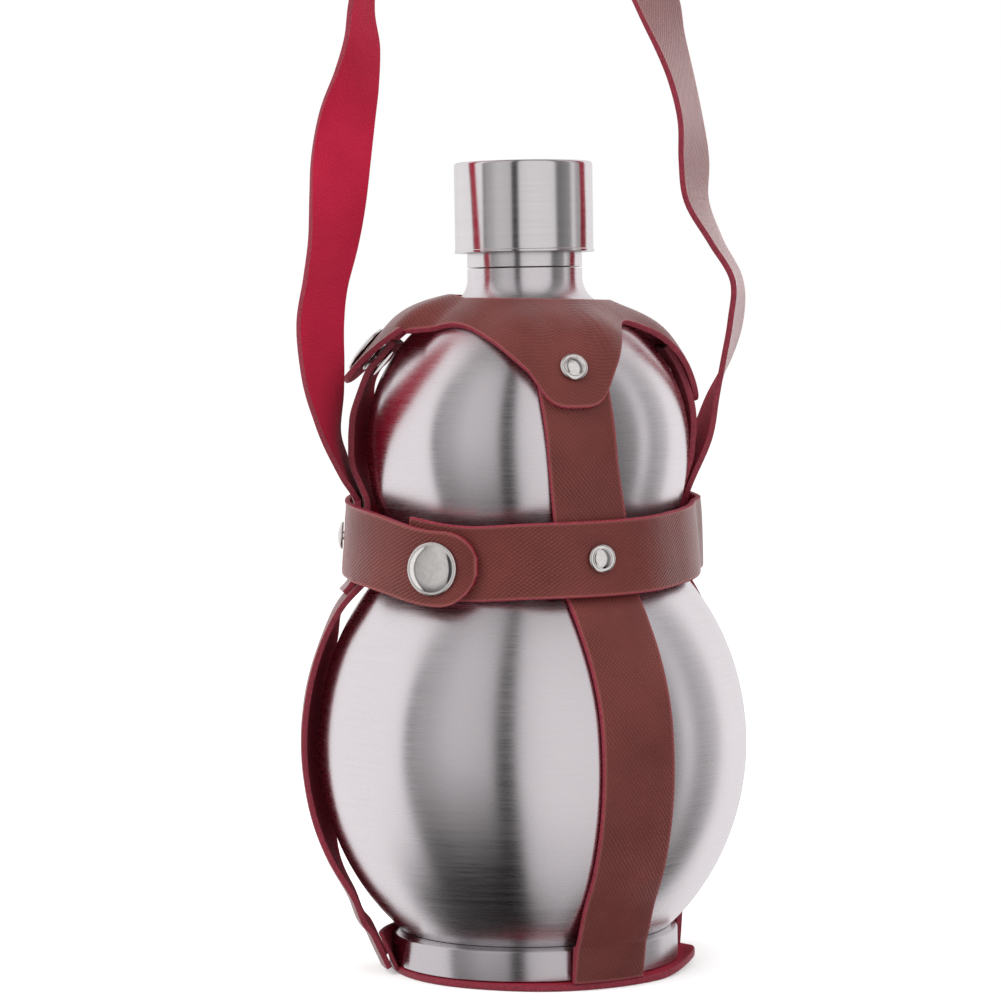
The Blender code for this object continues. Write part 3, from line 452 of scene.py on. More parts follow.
def leather_edge():
    s = principled("cut_leather_edge", Roughness=0.6, Specular_IOR_Level=0.4)
    fibre = s.noise(s.spot(), 1400.0, 4.0, 0.7)
    tint = s.mix(s.span(fibre, 0.3, 0.7), (0.13, 0.009, 0.018), (0.30, 0.026, 0.05))
    return s.finish(tint, fibre, 0.08 * MM)


def leather_back():
    """The crimson woven backing: fine ribs across the strap."""
    sheen = {"Sheen_Weight": 0.05, "Sheen_Tint": (1.0, 0.6, 0.65)}
    s = principled("red_backing_cloth", Roughness=0.85, Specular_IOR_Level=0.15, **sheen)
    uv = s.uv()
    ribs = s.wave(uv, 420.0, 1.2, 1.0)
    warp = s.wave(uv, 560.0, 0.8, direction="Y")
    weave = s.plus(s.times(ribs, 0.6), s.times(warp, 0.4))
    red = s.mix(s.span(s.noise(uv, 40.0, 3.0), 0.3, 0.7), (0.33, 0.008, 0.030), (0.42, 0.012, 0.042))
    red = s.mix(s.span(weave, 0.2, 0.8, 0.22, 0.0), red, (0.25, 0.005, 0.02))
    return s.finish(red, weave, 0.05 * MM)


def moulded(name, colour, roughness):
    s = principled(name)
    grain = s.noise(s.spot(), 1200.0, 3.0)
    shade = s.mix(grain, colour, tuple(channel * 0.92 for channel in colour))
    return s.finish(shade, grain, 0.02 * MM, s.span(grain, 0.3, 0.7, roughness - 0.05, roughness + 0.06))


STEEL = brushed_steel("brushed_steel_finish", (0.76, 0.735, 0.75), 0.27, 0.004 * MM)
# A darker copy of the steel for the foot ring: painted shade and painted reflection of the leather and floor
# round it
SHADED_FOOT_STEEL = brushed_steel("foot_steel_finish", (0.58, 0.56, 0.575), 0.27, 0.004 * MM)
CAP_STEEL = brushed_steel("turned_steel_finish", (0.74, 0.73, 0.73), 0.22, 0.002 * MM)
NICKEL = polished_nickel()
FACE = leather_face("brown_leather_face", 0.35, 0.0)
# The shoulder strap's leather is lightened by a painted sheen
STRAP_FACE = leather_face("handled_leather_face", 0.8, 0.36)
EDGE = leather_edge()
BACKING = leather_back()
PLASTIC = moulded("white_plastic_finish", (0.75, 0.75, 0.73), 0.4)
SILICONE = moulded("silicone_finish", (0.82, 0.82, 0.80), 0.5)


# Making pieces
def distances(points):
    """How far each point is along the way through them."""
    reach = [0.0]
    for one, two in zip(points, points[1:]):
        reach.append(reach[-1] + (two - one).length)
    return reach


def new_piece(name, points, faces, uvs, materials, face_materials=None):
    """One mesh object; uvs are one pair for each corner of each face."""
    mesh = bpy.data.meshes.new(name)
    mesh.from_pydata(points, [], faces)
    layer = mesh.uv_layers.new(name="UVMap")
    layer.data.foreach_set("uv", [value for pair in uvs for value in pair])
    for material in materials:
        mesh.materials.append(material)
    if face_materials:
        mesh.polygons.foreach_set("material_index", face_materials)
    shape = bmesh.new()
    shape.from_mesh(mesh)
    bmesh.ops.recalc_face_normals(shape, faces=shape.faces[:])
    shape.to_mesh(mesh)
    shape.free()
    mesh.shade_smooth()
    return link(name, mesh)


def settle(thing):
    """Applies a piece's modifiers."""
    bpy.context.view_layer.update()
    graph = bpy.context.evaluated_depsgraph_get()
    mesh = bpy.data.meshes.new_from_object(thing.evaluated_get(graph))
    thing.modifiers.clear()
    thing.data = mesh


def stand_for(thing, slot, *nodes, body="flask"):
    if body:
        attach(thing, body)
    if nodes:
        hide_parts(*nodes)
    return thing


def rounded(*corners):
    """An outline of (radius, height, rounding in millimetres) with each corner turned into an arc."""
    outline = []
    for index, (radius, height, rounding) in enumerate(corners):
        here = Vector((radius, height))
        if rounding == 0:
            outline.append(here)
            continue
        before = Vector(corners[index - 1][:2]) - here
        after = Vector(corners[(index + 1) % len(corners)][:2]) - here
        cut = rounding * MM / math.tan(before.angle(after) / 2)
        start = here + before.normalized() * cut
        end = here + after.normalized() * cut
        for part in spread(0.0, 1.0, 5):
            back = 1.0 - part
            outline.append(start * back * back + here * 2.0 * part * back + end * part * part)
    return outline


def hard_piece(name, points, faces, uvs, material):
    """A piece of one material from one UV pair for each point, with its corners kept sharp."""
    uvs = [uvs[corner] for face in faces for corner in face]
    thing = new_piece(name, points, faces, uvs, [material])
    thing.data.set_sharp_from_angle(angle=math.radians(40.0))
    return thing


def lathe(name, outline, material, sides=LATHE_SIDES):
    """An outline of (radius, height) turned about Z; points on the axis become single poles."""
    points = []
    uvs = []
    rings = []
    for (radius, height), length in zip(outline, distances([Vector(spot) for spot in outline])):
        count = 1 if radius == 0 else sides
        rings.append([len(points) + step for step in range(count)])
        for step in range(count):
            angle = math.tau * step / sides
            points.append((radius * math.cos(angle), radius * math.sin(angle), height))
            uvs.append((angle * 0.03, length))
    faces = []
    for one, two in zip(rings, rings[1:] + rings[:1]):
        if len(one) == 1 and len(two) == 1:
            continue
        for step in range(sides):
            ahead = (step + 1) % sides
            corners = [one[step % len(one)], one[ahead % len(one)]]
            corners += [two[ahead % len(two)], two[step % len(two)]]
            faces.append(list(dict.fromkeys(corners)))
    return hard_piece(name, points, faces, uvs, material)


def grids(rows, columns, spot):
    """A leather piece's inner and outer grid; spot(row, column, out) is a point, with out 0 inside."""
    return [[[spot(row, column, out) for column in columns] for row in rows] for out in (0, 1)]


def leather(name, inner, outer, ring=False, bevel=0.4 * MM, materials=None, joined=()):
    """A closed leather piece between two grids of points, with its cut edge rounded.

    A ring's last row runs on into its first. joined are the rows whose last points run on
    into another piece: they get no cut edge there.
    """
    rows = len(inner)
    across = len(inner[0])
    points = [point for grid in (inner, outer) for row in grid for point in row]
    middle = across // 2
    spots = []
    rims = []
    for grid in (inner, outer):
        along = distances([row[middle] for row in grid + grid[:1]])
        lines = []
        for index in range(rows + 1):
            reach = distances(grid[index % rows])
            lines.append([(along[index], distance - reach[middle]) for distance in reach])
            if index == rows:
                continue
            for distance in reach:
                edges = [distance]
                if index not in joined:
                    edges.append(reach[-1] - distance)
                if not ring:
                    edges += [along[index], along[rows - 1] - along[index]]
                rims.append(min(edges) / MM)
        spots.append(lines)

    faces = []
    kinds = []
    uvs = []

    def add(kind, *corners):
        faces.append([side * rows * across + (row % rows) * across + column for side, row, column in corners])
        uvs.extend(spots[side][row][column] for side, row, column in corners)
        kinds.append(kind)

    for row in range(rows if ring else rows - 1):
        for column in range(across - 1):
            for side in (0, 1):
                corners = [(side, row, column), (side, row + 1, column)]
                corners += [(side, row + 1, column + 1), (side, row, column + 1)]
                add(1 - side, *corners)
        for column in (0, across - 1):
            if column and row in joined and row + 1 in joined:
                continue
            add(2, (0, row, column), (0, row + 1, column), (1, row + 1, column), (1, row, column))
    if not ring:
        for row in (0, rows - 1):
            for column in range(across - 1):
                add(2, (0, row, column), (0, row, column + 1), (1, row, column + 1), (1, row, column))
    thing = new_piece(name, points, faces, uvs, materials or [FACE, BACKING, EDGE], kinds)
    attribute = thing.data.attributes.new("rim", "FLOAT", "POINT")
    attribute.data.foreach_set("value", rims)
    trim = thing.modifiers.new("rounded_edge", "BEVEL")
    trim.width = bevel
    trim.segments = 3
    trim.limit_method = "ANGLE"
    trim.angle_limit = math.radians(55.0)
    trim.material = 2
    settle(thing)
    thing.data.set_sharp_from_angle(angle=math.radians(50.0))
    return thing


def ripple(point, size, height):
    return height * noise.noise(point / size)


# Straps down the flask
def strap_azimuth(strap, height):
    share = smooth(-height, -DRIFT_TOP, -DRIFT_BOTTOM)
    azimuth = strap.top + (strap.bottom - strap.top) * share
    if strap is LEFT:
        azimuth -= LEFT_SWAY * between(height, 22.0 * MM, 45.0 * MM, 95.0 * MM, 112.0 * MM)
    return azimuth


def between(value, start, full, fade, end):
    """One between full and fade, and smoothly down to zero at start and end."""
    return smooth(value, start, full) * (1.0 - smooth(value, fade, end))


def strap_twist(strap, height, side):
    """How far the left strap's back edge leans in: it lies near the flask, and the front edge stands off."""
    if strap is not LEFT:
        return 0.0
    lower = between(height, 24.0 * MM, 44.0 * MM, 92.0 * MM, 106.0 * MM)
    upper = between(height, 138.0 * MM, 150.0 * MM, 160.0 * MM, 172.0 * MM)
    return LEFT_TWIST * (lower + upper) * ((1.0 - side) / 2) ** 2


def strap_half_width(height):
    share = smooth(height, WAIST_HEIGHT, UPPER.centre)
    return (STRAP_WIDTH + (STRAP_TOP_WIDTH - STRAP_WIDTH) * share) / 2


def waist_radius(height):
    return STRAP_WAIST_RADIUS - WAIST_LEAN * (height - WAIST_HEIGHT)


def upper_clearance(strap, tilt):
    settled = tilt_at(UPPER, RIVET_ROOM_HEIGHT)
    return LAYER_GAP + strap.slack + RIVET_ROOM * smooth(tilt, -settled, settled)


def foot_radius(strap, height):
    rise = height - BASE_THICKNESS
    return FOOT_RADIUS + TAB_THICKNESS + 3.0 * LAYER_GAP + strap.foot_lean * rise


FOLD_POINT = bulb_point(UPPER, FOLD_TILT, FOLD_OFFSET)
FLAP_TURN = math.radians(FLAP_SLOPE)
FLAP_ALONG = Vector((math.cos(FLAP_TURN), -math.sin(FLAP_TURN)))
FLAP_NORMAL = Vector((math.sin(FLAP_TURN), math.cos(FLAP_TURN)))


def flap_point(along, out):
    return FOLD_POINT + FLAP_ALONG * along + FLAP_NORMAL * out


def belt_middle(azimuth, dip, dip_azimuth, dip_width):
    turn = math.radians(azimuth)
    nod = BELT_NOD * math.cos(turn) + BELT_ROLL * math.sin(turn)
    apart = apart_from(azimuth, dip_azimuth) / dip_width
    return BELT_HEIGHT - nod - dip * math.exp(-apart * apart)


def band_middle(azimuth):
    return belt_middle(azimuth, BAND_DIP, SNAP_AZIMUTH + 8.0, 18.0)


def flap_middle(azimuth):
    return belt_middle(azimuth, FLAP_DIP, SNAP_AZIMUTH, 20.0)


def strap_line(strap):
    """(radius, height) of a strap's inner face, from under the crown to the base disc."""
    if strap is LEFT:
        snap = flap_point(SNAP_PLACE, -SNAP_SPACE - LEATHER)
        reach = STUD_RADIUS + HOLE_PLAY
        line = [snap - FLAP_ALONG * (reach + STRAP_REACH), snap, snap + FLAP_ALONG * reach]
        tilts = spread(tilt_at(UPPER, RIVET_ROOM_HEIGHT), -6.0, 4)
    else:
        line = []
        tilts = spread(tilt_at(UPPER, CROWN_HEIGHT), -6.0, 8)
    for tilt in tilts:
        room = LAYER_GAP + strap.slack if strap is LEFT else upper_clearance(strap, tilt)
        line.append(bulb_point(UPPER, tilt, room))
    half = BELT_WIDTH / 2 + LAYER_GAP
    crest = band_middle(strap_azimuth(strap, BELT_HEIGHT))
    heights = [crest + half, crest + half / 2, crest, crest - half / 2, crest - half]
    if strap.doubled:
        heights.append(SHOULDER_TAIL_RIGHT)
    tuck = RIGHT_TUCK if strap is RIGHT else 0.0
    line += [Vector((waist_radius(height) - tuck, height)) for height in heights]
    for tilt in spread(34.0, -36.0, 8):
        line.append(bulb_point(LOWER, tilt, LAYER_GAP + strap.slack))
    bend = TAB_HEIGHT * 1.25
    line.append(Vector((foot_radius(strap, bend) + LEATHER / 2, bend)))
    for height in (TAB_HEIGHT, TAB_HEIGHT * 0.6, BASE_THICKNESS + LAYER_GAP):
        line.append(Vector((foot_radius(strap, height), height)))
    return line


STRAP_LINES = {strap.name: strap_line(strap) for strap in STRAPS}


def fine_line(strap, rows=34):
    line = STRAP_LINES[strap.name]
    return [through(line, share) for share in spread(0.0, 1.0, rows)]


FINE_LINES = {strap.name: fine_line(strap) for strap in STRAPS}


def over_strap(strap, height, layers):
    line = FINE_LINES[strap.name]
    for above, below in zip(line, line[1:]):
        if below.y <= height <= above.y:
            share = (height - below.y) / (above.y - below.y)
            lean = math.hypot(above.x - below.x, above.y - below.y) / (above.y - below.y)
            return below.x + (above.x - below.x) * share + layers * (LEATHER + LAYER_GAP) * lean
    return 0.0


ACROSS = [-1.0, -0.95, -0.87, -0.72, -0.5, -0.25, 0.0, 0.25, 0.5, 0.72, 0.87, 0.95, 1.0]


def way_at(points, index):
    """The way along points at one of them, from its neighbours."""
    return points[min(index + 1, len(points) - 1)] - points[max(index - 1, 0)]


def make_strap(strap):
    fine = fine_line(strap, STRAP_ROWS)

    def spot(index, side, out):
        base = fine[index]
        ahead = way_at(fine, index)
        azimuth = strap_azimuth(strap, base.y)
        angle = math.degrees(strap_half_width(base.y) / base.x)
        skin = base + Vector((-ahead.y, ahead.x)).normalized() * (out * LEATHER)
        point = place(azimuth + side * angle, skin.x - strap_twist(strap, base.y, side), skin.y)
        wave = ripple(point, *STRAP_RIPPLE) if out else 0.0
        return point + outward(azimuth) * wave

    thing = leather(strap.name + "_leather", *grids(range(len(fine)), ACROSS, spot))
    stand_for(thing, "brown_leather", strap.name)


# Shoulder strap, made before the other pieces
def held_end(strap, heights, turn):
    """Where the belt holds one end of the shoulder strap, and the azimuth that its edge points to."""
    end = []
    for height in heights:
        azimuth = strap_azimuth(strap, height)
        radius = over_strap(strap, height, 1) + HELD_ROOM + LEATHER / 2
        end.append((place(azimuth, radius, height), Vector((azimuth + turn, 0, 0))))
    return end


def make_shoulder_strap():
    left = held_end(LEFT, [SHOULDER_TAIL_LEFT] + SHOULDER_HELD, 90.0)
    free = [(Vector(row[:3]) * MM, Vector((row[3], 0, 0))) for row in SHOULDER_ROUTE]
    right = held_end(RIGHT, SHOULDER_HELD[:0:-1] + [SHOULDER_TAIL_RIGHT], -90.0)
    places, turns = zip(*left, *free, *right)
    shares = spread(0.0, 1.0, SHOULDER_ROWS)
    middle = [through(places, share) for share in shares]

    def spot(index, side, out):
        here = middle[index]
        ahead = way_at(middle, index).normalized()
        edge = outward(through(turns, shares[index]).x)
        normal = edge.cross(ahead).normalized()
        edge = ahead.cross(normal)
        held = 1.0 - smooth(here.z, BELT_HEIGHT + BELT_WIDTH * 0.6, BELT_HEIGHT + BELT_WIDTH * 1.4)
        reach = side * SHOULDER_WIDTH / 2
        bow = held * reach * reach / (2.0 * (waist_radius(here.z) + LEATHER))
        return here + edge * reach - normal * bow + normal * ((out - 0.5) * LEATHER)

    inner, outer = grids(range(len(middle)), ACROSS, spot)
    thing = leather("shoulder_strap_leather", inner, outer, materials=[STRAP_FACE, BACKING, EDGE])
    stand_for(thing, "brown_leather", "shoulder_strap")
    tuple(middle[0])
    distances(middle)[-1]


make_shoulder_strap()
for each_strap in STRAPS:
    make_strap(each_strap)


# Flask
def neck_fillet():
    low, high = 30.0, 85.0
    for _ in range(40):
        middle = (low + high) / 2
        if bulb_point(UPPER, middle, NECK_FILLET).x > NECK_RADIUS + NECK_FILLET:
            low = middle
        else:
            high = middle
    return low, bulb_point(UPPER, low, NECK_FILLET)


def shoulder(offset, count):
    tilt, centre = neck_fillet()
    normal = bulb_point(UPPER, tilt, NECK_FILLET) - bulb_point(UPPER, tilt, 0)
    start = math.atan2(-normal.y, -normal.x) + math.tau
    reach = NECK_FILLET - offset
    return [
        (centre.x + reach * math.cos(angle), centre.y + reach * math.sin(angle))
        for angle in spread(start, math.pi, count)
    ]


def bulb_wall(bulb, low, high, count, offset):
    return [tuple(bulb_point(bulb, tilt, offset)) for tilt in spread(low, high, count)]


def heel(tilt, inset, count):
    start = bulb_point(LOWER, tilt, 0)
    normal = bulb_point(LOWER, tilt, HEEL_RADIUS) - start
    centre = start - normal
    end = math.atan2(normal.y, normal.x)
    reach = HEEL_RADIUS - inset
    return [
        (centre.x + reach * math.cos(angle), centre.y + reach * math.sin(angle))
        for angle in spread(-math.pi / 2, end, count)
    ]


def make_flask():
    waist_low = WAIST_HEIGHT - GAP / 2
    waist_high = WAIST_HEIGHT + GAP / 2
    top_tilt = neck_fillet()[0]
    low_tilt = tilt_at(UPPER, waist_high)
    outer = bulb_wall(UPPER, low_tilt, top_tilt, 72, 0)[:-1] + shoulder(0, 20)
    inner = bulb_wall(UPPER, low_tilt, top_tilt, 36, -WALL)[:-1] + shoulder(-WALL, 10)
    inner[0] = (inner[0][0], waist_high)
    rim = [(NECK_RADIUS, SHOULDER_TOP), (NECK_RADIUS - WALL, SHOULDER_TOP)]
    thing = lathe("upper_bulb_steel", outer + rim + inner[::-1], STEEL)
    stand_for(thing, "brushed_steel", "upper_bulb")

    heel_tilt = tilt_at(LOWER, HEEL_HEIGHT)
    crest_tilt = tilt_at(LOWER, waist_low)
    outer = heel(heel_tilt, 0, 16)[:-1] + bulb_wall(LOWER, heel_tilt, crest_tilt, 96, 0)
    inner = heel(heel_tilt, WALL, 8)[:-1] + bulb_wall(LOWER, heel_tilt, crest_tilt, 48, -WALL)
    inner[-1] = (inner[-1][0], waist_low)
    edge, low = outer[0]
    outside = [(0, low + PUNT_RISE), (edge / 2, low + PUNT_RISE * 0.75)]
    inside = [(radius, height + WALL) for radius, height in outside]
    thing = lathe("lower_bulb_steel", outside + outer + inner[::-1] + inside[::-1], STEEL)
    stand_for(thing, "brushed_steel", "lower_bulb")

    bottom = BASE_THICKNESS + LAYER_GAP
    top = bottom + FOOT_HEIGHT
    lip = top + FOOT_LIP
    seat = bulb_point(LOWER, tilt_at(LOWER, lip), GAP).x
    outline = rounded(
        (FOOT_RADIUS, bottom, 0.3),
        (FOOT_RADIUS, top, 0.8),
        (seat, lip, 0),
        (seat, lip - FOOT_WALL, 0),
        (FOOT_RADIUS - FOOT_WALL, top - FOOT_WALL, 0.3),
        (FOOT_RADIUS - FOOT_WALL, bottom, 0.3),
    )
    stand_for(lathe("foot_ring_steel", outline, SHADED_FOOT_STEEL), "brushed_steel", "foot_ring")

    low = SHOULDER_TOP + GAP
    step = low + NECK_STEP
    outline = rounded(
        (NECK_BORE, low, 0),
        (NECK_RADIUS, low, 0.25),
        (NECK_RADIUS, step, 0.6),
        (THREAD_RADIUS, step, 0),
        (THREAD_RADIUS, RIM_HEIGHT, 0.5),
        (NECK_BORE, RIM_HEIGHT, 0.5),
    )
    stand_for(lathe("neck_ring_steel", outline, CAP_STEEL), "brushed_steel", "neck_ring")


def helix(name, radius, depth, width, low, turns, phase, material, steps=72):
    """A screw thread's ridge round Z: it stands depth out of a radius and tapers off at both ends."""
    points = []
    uvs = []
    faces = []
    count = int(steps * turns)
    for step in range(count + 1):
        angle = math.tau * step / steps + phase
        height = low + THREAD_PITCH * step / steps
        fade = min(1.0, step / 14.0, (count - step) / 14.0)
        for out, up in ((-0.2, -1.0), (1.0, -0.35), (1.0, 0.35), (-0.2, 1.0)):
            reach = radius + depth * (out if out < 0 else out * max(fade, 0.02))
            points.append((reach * math.cos(angle), reach * math.sin(angle), height + up * width / 2))
            uvs.append((angle * radius, up * width))
    for step in range(count):
        for corner in range(4):
            here = step * 4 + corner
            beside = step * 4 + (corner + 1) % 4
            faces.append((here, beside, beside + 4, here + 4))
    faces.append((0, 1, 2, 3))
    last = count * 4
    faces.append((last, last + 1, last + 2, last + 3))
    return hard_piece(name, points, faces, uvs, material)


def make_cap():
    low = SHOULDER_TOP + CAP_CLEARANCE
    top = low + CAP_HEIGHT
    inner = CAP_RADIUS - CAP_WALL
    lip = 0.2 * MM
    outline = [Vector((0, top + 0.05 * MM))] + rounded(
        (CAP_RADIUS - 2.6 * MM, top + 0.05 * MM, 0),
        (CAP_RADIUS - 2.0 * MM, top, 0),
        (CAP_RADIUS, top, 1.0),
        (CAP_RADIUS, low + 0.9 * MM, 0.3),
        (CAP_RADIUS + lip, low + 0.7 * MM, 0.1),
        (CAP_RADIUS + lip, low, 0.2),
        (inner, low, 0.2),
        (inner, top - CAP_WALL, 0),
        (0, top - CAP_WALL, 0),
    )
    stand_for(lathe("cap_shell_steel", outline, CAP_STEEL), "brushed_steel", "cap_shell", body="cap")

    seal_low = RIM_HEIGHT + GAP
    seal_high = seal_low + SEAL_THICKNESS
    liner_radius = inner - GAP
    bore = THREAD_RADIUS + THREAD_PLAY
    ceiling = seal_high + GAP
    liner_high = top - CAP_WALL - GAP
    mouth = SHOULDER_TOP + NECK_STEP + 4.0 * GAP
    core = liner_high - 2.0 * MM
    outline = [Vector((0, liner_high))] + rounded(
        (liner_radius, liner_high, 0.5),
        (liner_radius, mouth, 0.3),
        (bore, mouth, 0.3),
        (bore, ceiling, 0.2),
        (SEAL_BORE, ceiling, 0.2),
        (SEAL_BORE, core, 0.2),
        (0, core, 0),
    )
    stand_for(lathe("cap_liner_plastic", outline, PLASTIC), "white_plastic", "cap_liner", body="cap")
    outline = rounded(
        (SEAL_BORE, seal_low, 0.4),
        (bore - GAP, seal_low, 0.4),
        (bore - GAP, seal_high, 0.4),
        (SEAL_BORE, seal_high, 0.4),
    )
    stand_for(lathe("cap_seal_ring", outline, SILICONE, 96), "silicone", "cap_seal", body="seal_carrier")
    thread = helix("neck_thread", THREAD_RADIUS, NECK_RIDGE, 1.6 * MM, step_height(0.45), 2.6, 0.0, CAP_STEEL)
    stand_for(thread, "brushed_steel")
    thread = helix("liner_thread", bore, -LINER_RIDGE, 1.5 * MM, step_height(0.95), 2.4, 0.0, PLASTIC)
    stand_for(thread, "white_plastic", body="cap")


def step_height(turns):
    """A height on the neck's thread, in turns above the step."""
    return SHOULDER_TOP + GAP + NECK_STEP + THREAD_PITCH * turns


make_flask()
make_cap()


# Crown round the shoulder
def lobe_places():
    return [FRONT.top + 0.5, RIGHT.top, BACK.top, LEFT.top + 360.0]


def edge_points():
    """Azimuth and lowest tilt right round the crown."""
    middles = lobe_places()
    count = len(middles)
    edge = []
    for index, middle in enumerate(middles):
        before = middles[index - 1] - (360.0 if index == 0 else 0.0)
        after = middles[(index + 1) % count] + (360.0 if index == count - 1 else 0.0)
        for side, reach in ((-1, (middle - before) / 2), (1, (after - middle) / 2)):
            start = TONGUE[-1][0]
            arch = [(start + (reach - start) * share, tilt) for share, tilt in ARCH_SHARES]
            half = [(middle + side * turn, tilt) for turn, tilt in TONGUE + arch]
            edge.extend(half[::-1] if side < 0 else half[1:-1])
    return edge


def fine_edge():
    """The same edge with four points added between each two, on a smooth curve through them."""
    edge = [Vector(pair) for pair in edge_points()]
    round_once = Vector((360.0, 0.0))
    around = [edge[-1] - round_once] + edge + [edge[0] + round_once, edge[1] + round_once]
    last = len(around) - 1
    return [
        through(around, (index + part / 5) / last) for index in range(1, len(edge) + 1) for part in range(5)
    ]


def below_fold(azimuth, low):
    """Whether this part of the edge belongs to the crown's flap."""
    return low < FOLD_TILT and abs(apart_from(azimuth, LEFT.top)) < FLAP_SPREAD


def lobe_lift(azimuth, tilt):
    lift = 0.0
    for strap, middle in zip(STRAPS, lobe_places()):
        raised = LAYER_GAP + LEATHER + RIVET_ROOM + strap.slack
        reach, settled = LOBE_REACH, LOBE_SETTLE
        if strap is LEFT:
            raised = FOLD_OFFSET - LAYER_GAP
            reach, settled = FLAP_REACH, FLAP_SETTLE
        near = 1.0 - smooth(abs(apart_from(azimuth, middle)), *reach)
        down = 1.0 - smooth(tilt, *settled)
        lift = max(lift, near * down * raised)
    return lift


def crown_surface(azimuth, tilt, thickness):
    return place(azimuth, *bulb_point(UPPER, tilt, LAYER_GAP + lobe_lift(azimuth, tilt) + thickness))


def crown_wrinkle(azimuth, tilt):
    """Shallow creases between the neck and each riveted lobe."""
    deep = 0.0
    for middle in lobe_places()[:3]:
        near = math.exp(-((apart_from(azimuth, middle) / 16.0) ** 2))
        zone = smooth(tilt, 25.0, 33.0) * (1.0 - smooth(tilt, 46.0, 55.0))
        sway = 1.6 * noise.noise(Vector((azimuth / 9.0, 0.0, 3.0)))
        drift = 3.0 * noise.noise(Vector((azimuth / 6.0, tilt / 4.0, 0.0)))
        deep += near * zone * math.sin((tilt + sway) * 2.4 + drift)
    return deep * 0.09 * MM


def make_crown():
    shares = [0.0, 0.02, 0.06, 0.12, 0.2, 0.28, 0.36, 0.44, 0.52, 0.6, 0.68, 0.76, 0.84, 0.9, 0.95, 0.98, 1.0]
    edge = fine_edge()
    behind = min(range(len(edge)), key=lambda index: abs(edge[index][0] - CROWN_SEAM))
    edge = edge[behind:] + edge[:behind]
    joined = [index for index, spot in enumerate(edge) if below_fold(*spot)]

    def spot(index, share, out):
        azimuth, low = edge[index]
        if index in joined:
            low = FOLD_TILT
        high = CROWN_HOLE_TILT - CROWN_HOLE_SLANT * math.sin(math.radians(azimuth))
        tilt = high + (low - high) * share
        return crown_surface(azimuth, tilt, out * (LEATHER + crown_wrinkle(azimuth, tilt)))

    inner, outer = grids(range(len(edge)), shares, spot)
    thing = leather("crown_collar_leather", inner, outer, ring=True, joined=joined)
    stand_for(thing, "brown_leather", "crown_collar")


def flap_place(along, out, apart=0.0):
    return place(LEFT.top + apart, *flap_point(along, out))


def make_crown_flap():
    lowest = TONGUE[0][1]
    edge = [(apart_from(azimuth, LEFT.top), low) for azimuth, low in fine_edge() if below_fold(azimuth, low)]

    def spot(column, share, out):
        apart, low = column
        reach = FLAP_LENGTH * (FOLD_TILT - low) / (FOLD_TILT - lowest)
        return flap_place(reach * share, out * LEATHER, apart)

    inner, outer = grids(edge, (1.0, 0.96, 0.9, 0.8, 0.65, 0.5, 0.35, 0.2, 0.08, 0.0), spot)
    thing = leather("crown_flap_leather", inner, outer, bevel=0.3 * MM, joined=range(len(inner)))
    stand_for(thing, "brown_leather", "crown_flap", body=None)
    start = flap_place(0, LEATHER / 2)
    flap_place(3.0 * MM, LEATHER / 2)
    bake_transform(thing)


make_crown()
make_crown_flap()


# Belt
def belt_radius(azimuth, height):
    radius = BELT_FREE_RADIUS - WAIST_LEAN * (height - WAIST_HEIGHT)
    raised = 0.0
    for strap in STRAPS:
        layers = 2 if strap.doubled else 1
        room = 2.0 * HELD_ROOM if strap.doubled else 0.0
        over = over_strap(strap, height, layers) + room - radius
        apart = abs(apart_from(azimuth, strap_azimuth(strap, height)))
        hold, fade = DOUBLED_REACH if strap.doubled else SINGLE_REACH
        raised = max(raised, over * (1.0 - smooth(apart, hold, fade)))
    return radius + raised


def flap_radius(azimuth, height):
    lean = WAIST_LEAN * (height - WAIST_HEIGHT)
    over_snap = BELT_FREE_RADIUS + LEATHER + SNAP_SPACE - lean
    start = belt_radius(BELT_FOLD, height)
    share = smooth(azimuth, BELT_FOLD, SNAP_AZIMUTH - 14.0)
    tip = smooth(azimuth, SNAP_AZIMUTH + 6.0, FLAP_END) * (SNAP_SPACE - LAYER_GAP * 2.0)
    return start + (over_snap - start) * share - tip


def band_half(azimuth):
    return BELT_WIDTH / 2


def flap_half(azimuth):
    half = BELT_WIDTH / 2
    reach = math.radians(FLAP_END - azimuth) * (BELT_FREE_RADIUS + SNAP_SPACE + LEATHER)
    if reach >= half:
        return half
    from_centre = half - max(reach, half * 0.03)
    return math.sqrt(half * half - from_centre * from_centre)


def belt_leather(name, azimuths, middle, radius_at, half_at, dents):
    """A belt piece; dents are (azimuth, height, radius) of fasteners that press its face in."""

    def spot(azimuth, side, out):
        level = middle(azimuth) + side * half_at(azimuth)
        radius = radius_at(azimuth, level) + out * LEATHER
        if out:
            radius += ripple(place(azimuth, radius, level), *BELT_RIPPLE)
            for dent_azimuth, dent_height, reach in dents:
                aside = math.radians(apart_from(azimuth, dent_azimuth)) * radius
                away = math.hypot(aside, level - dent_height)
                radius -= DENT_DEPTH * math.exp(-((away / reach) ** 4))
        return place(azimuth, radius, level)

    return leather(name, *grids(azimuths, ACROSS, spot))


def belt_rivet_place(strap):
    height = band_middle(strap_azimuth(strap, BELT_HEIGHT))
    return strap_azimuth(strap, height), height


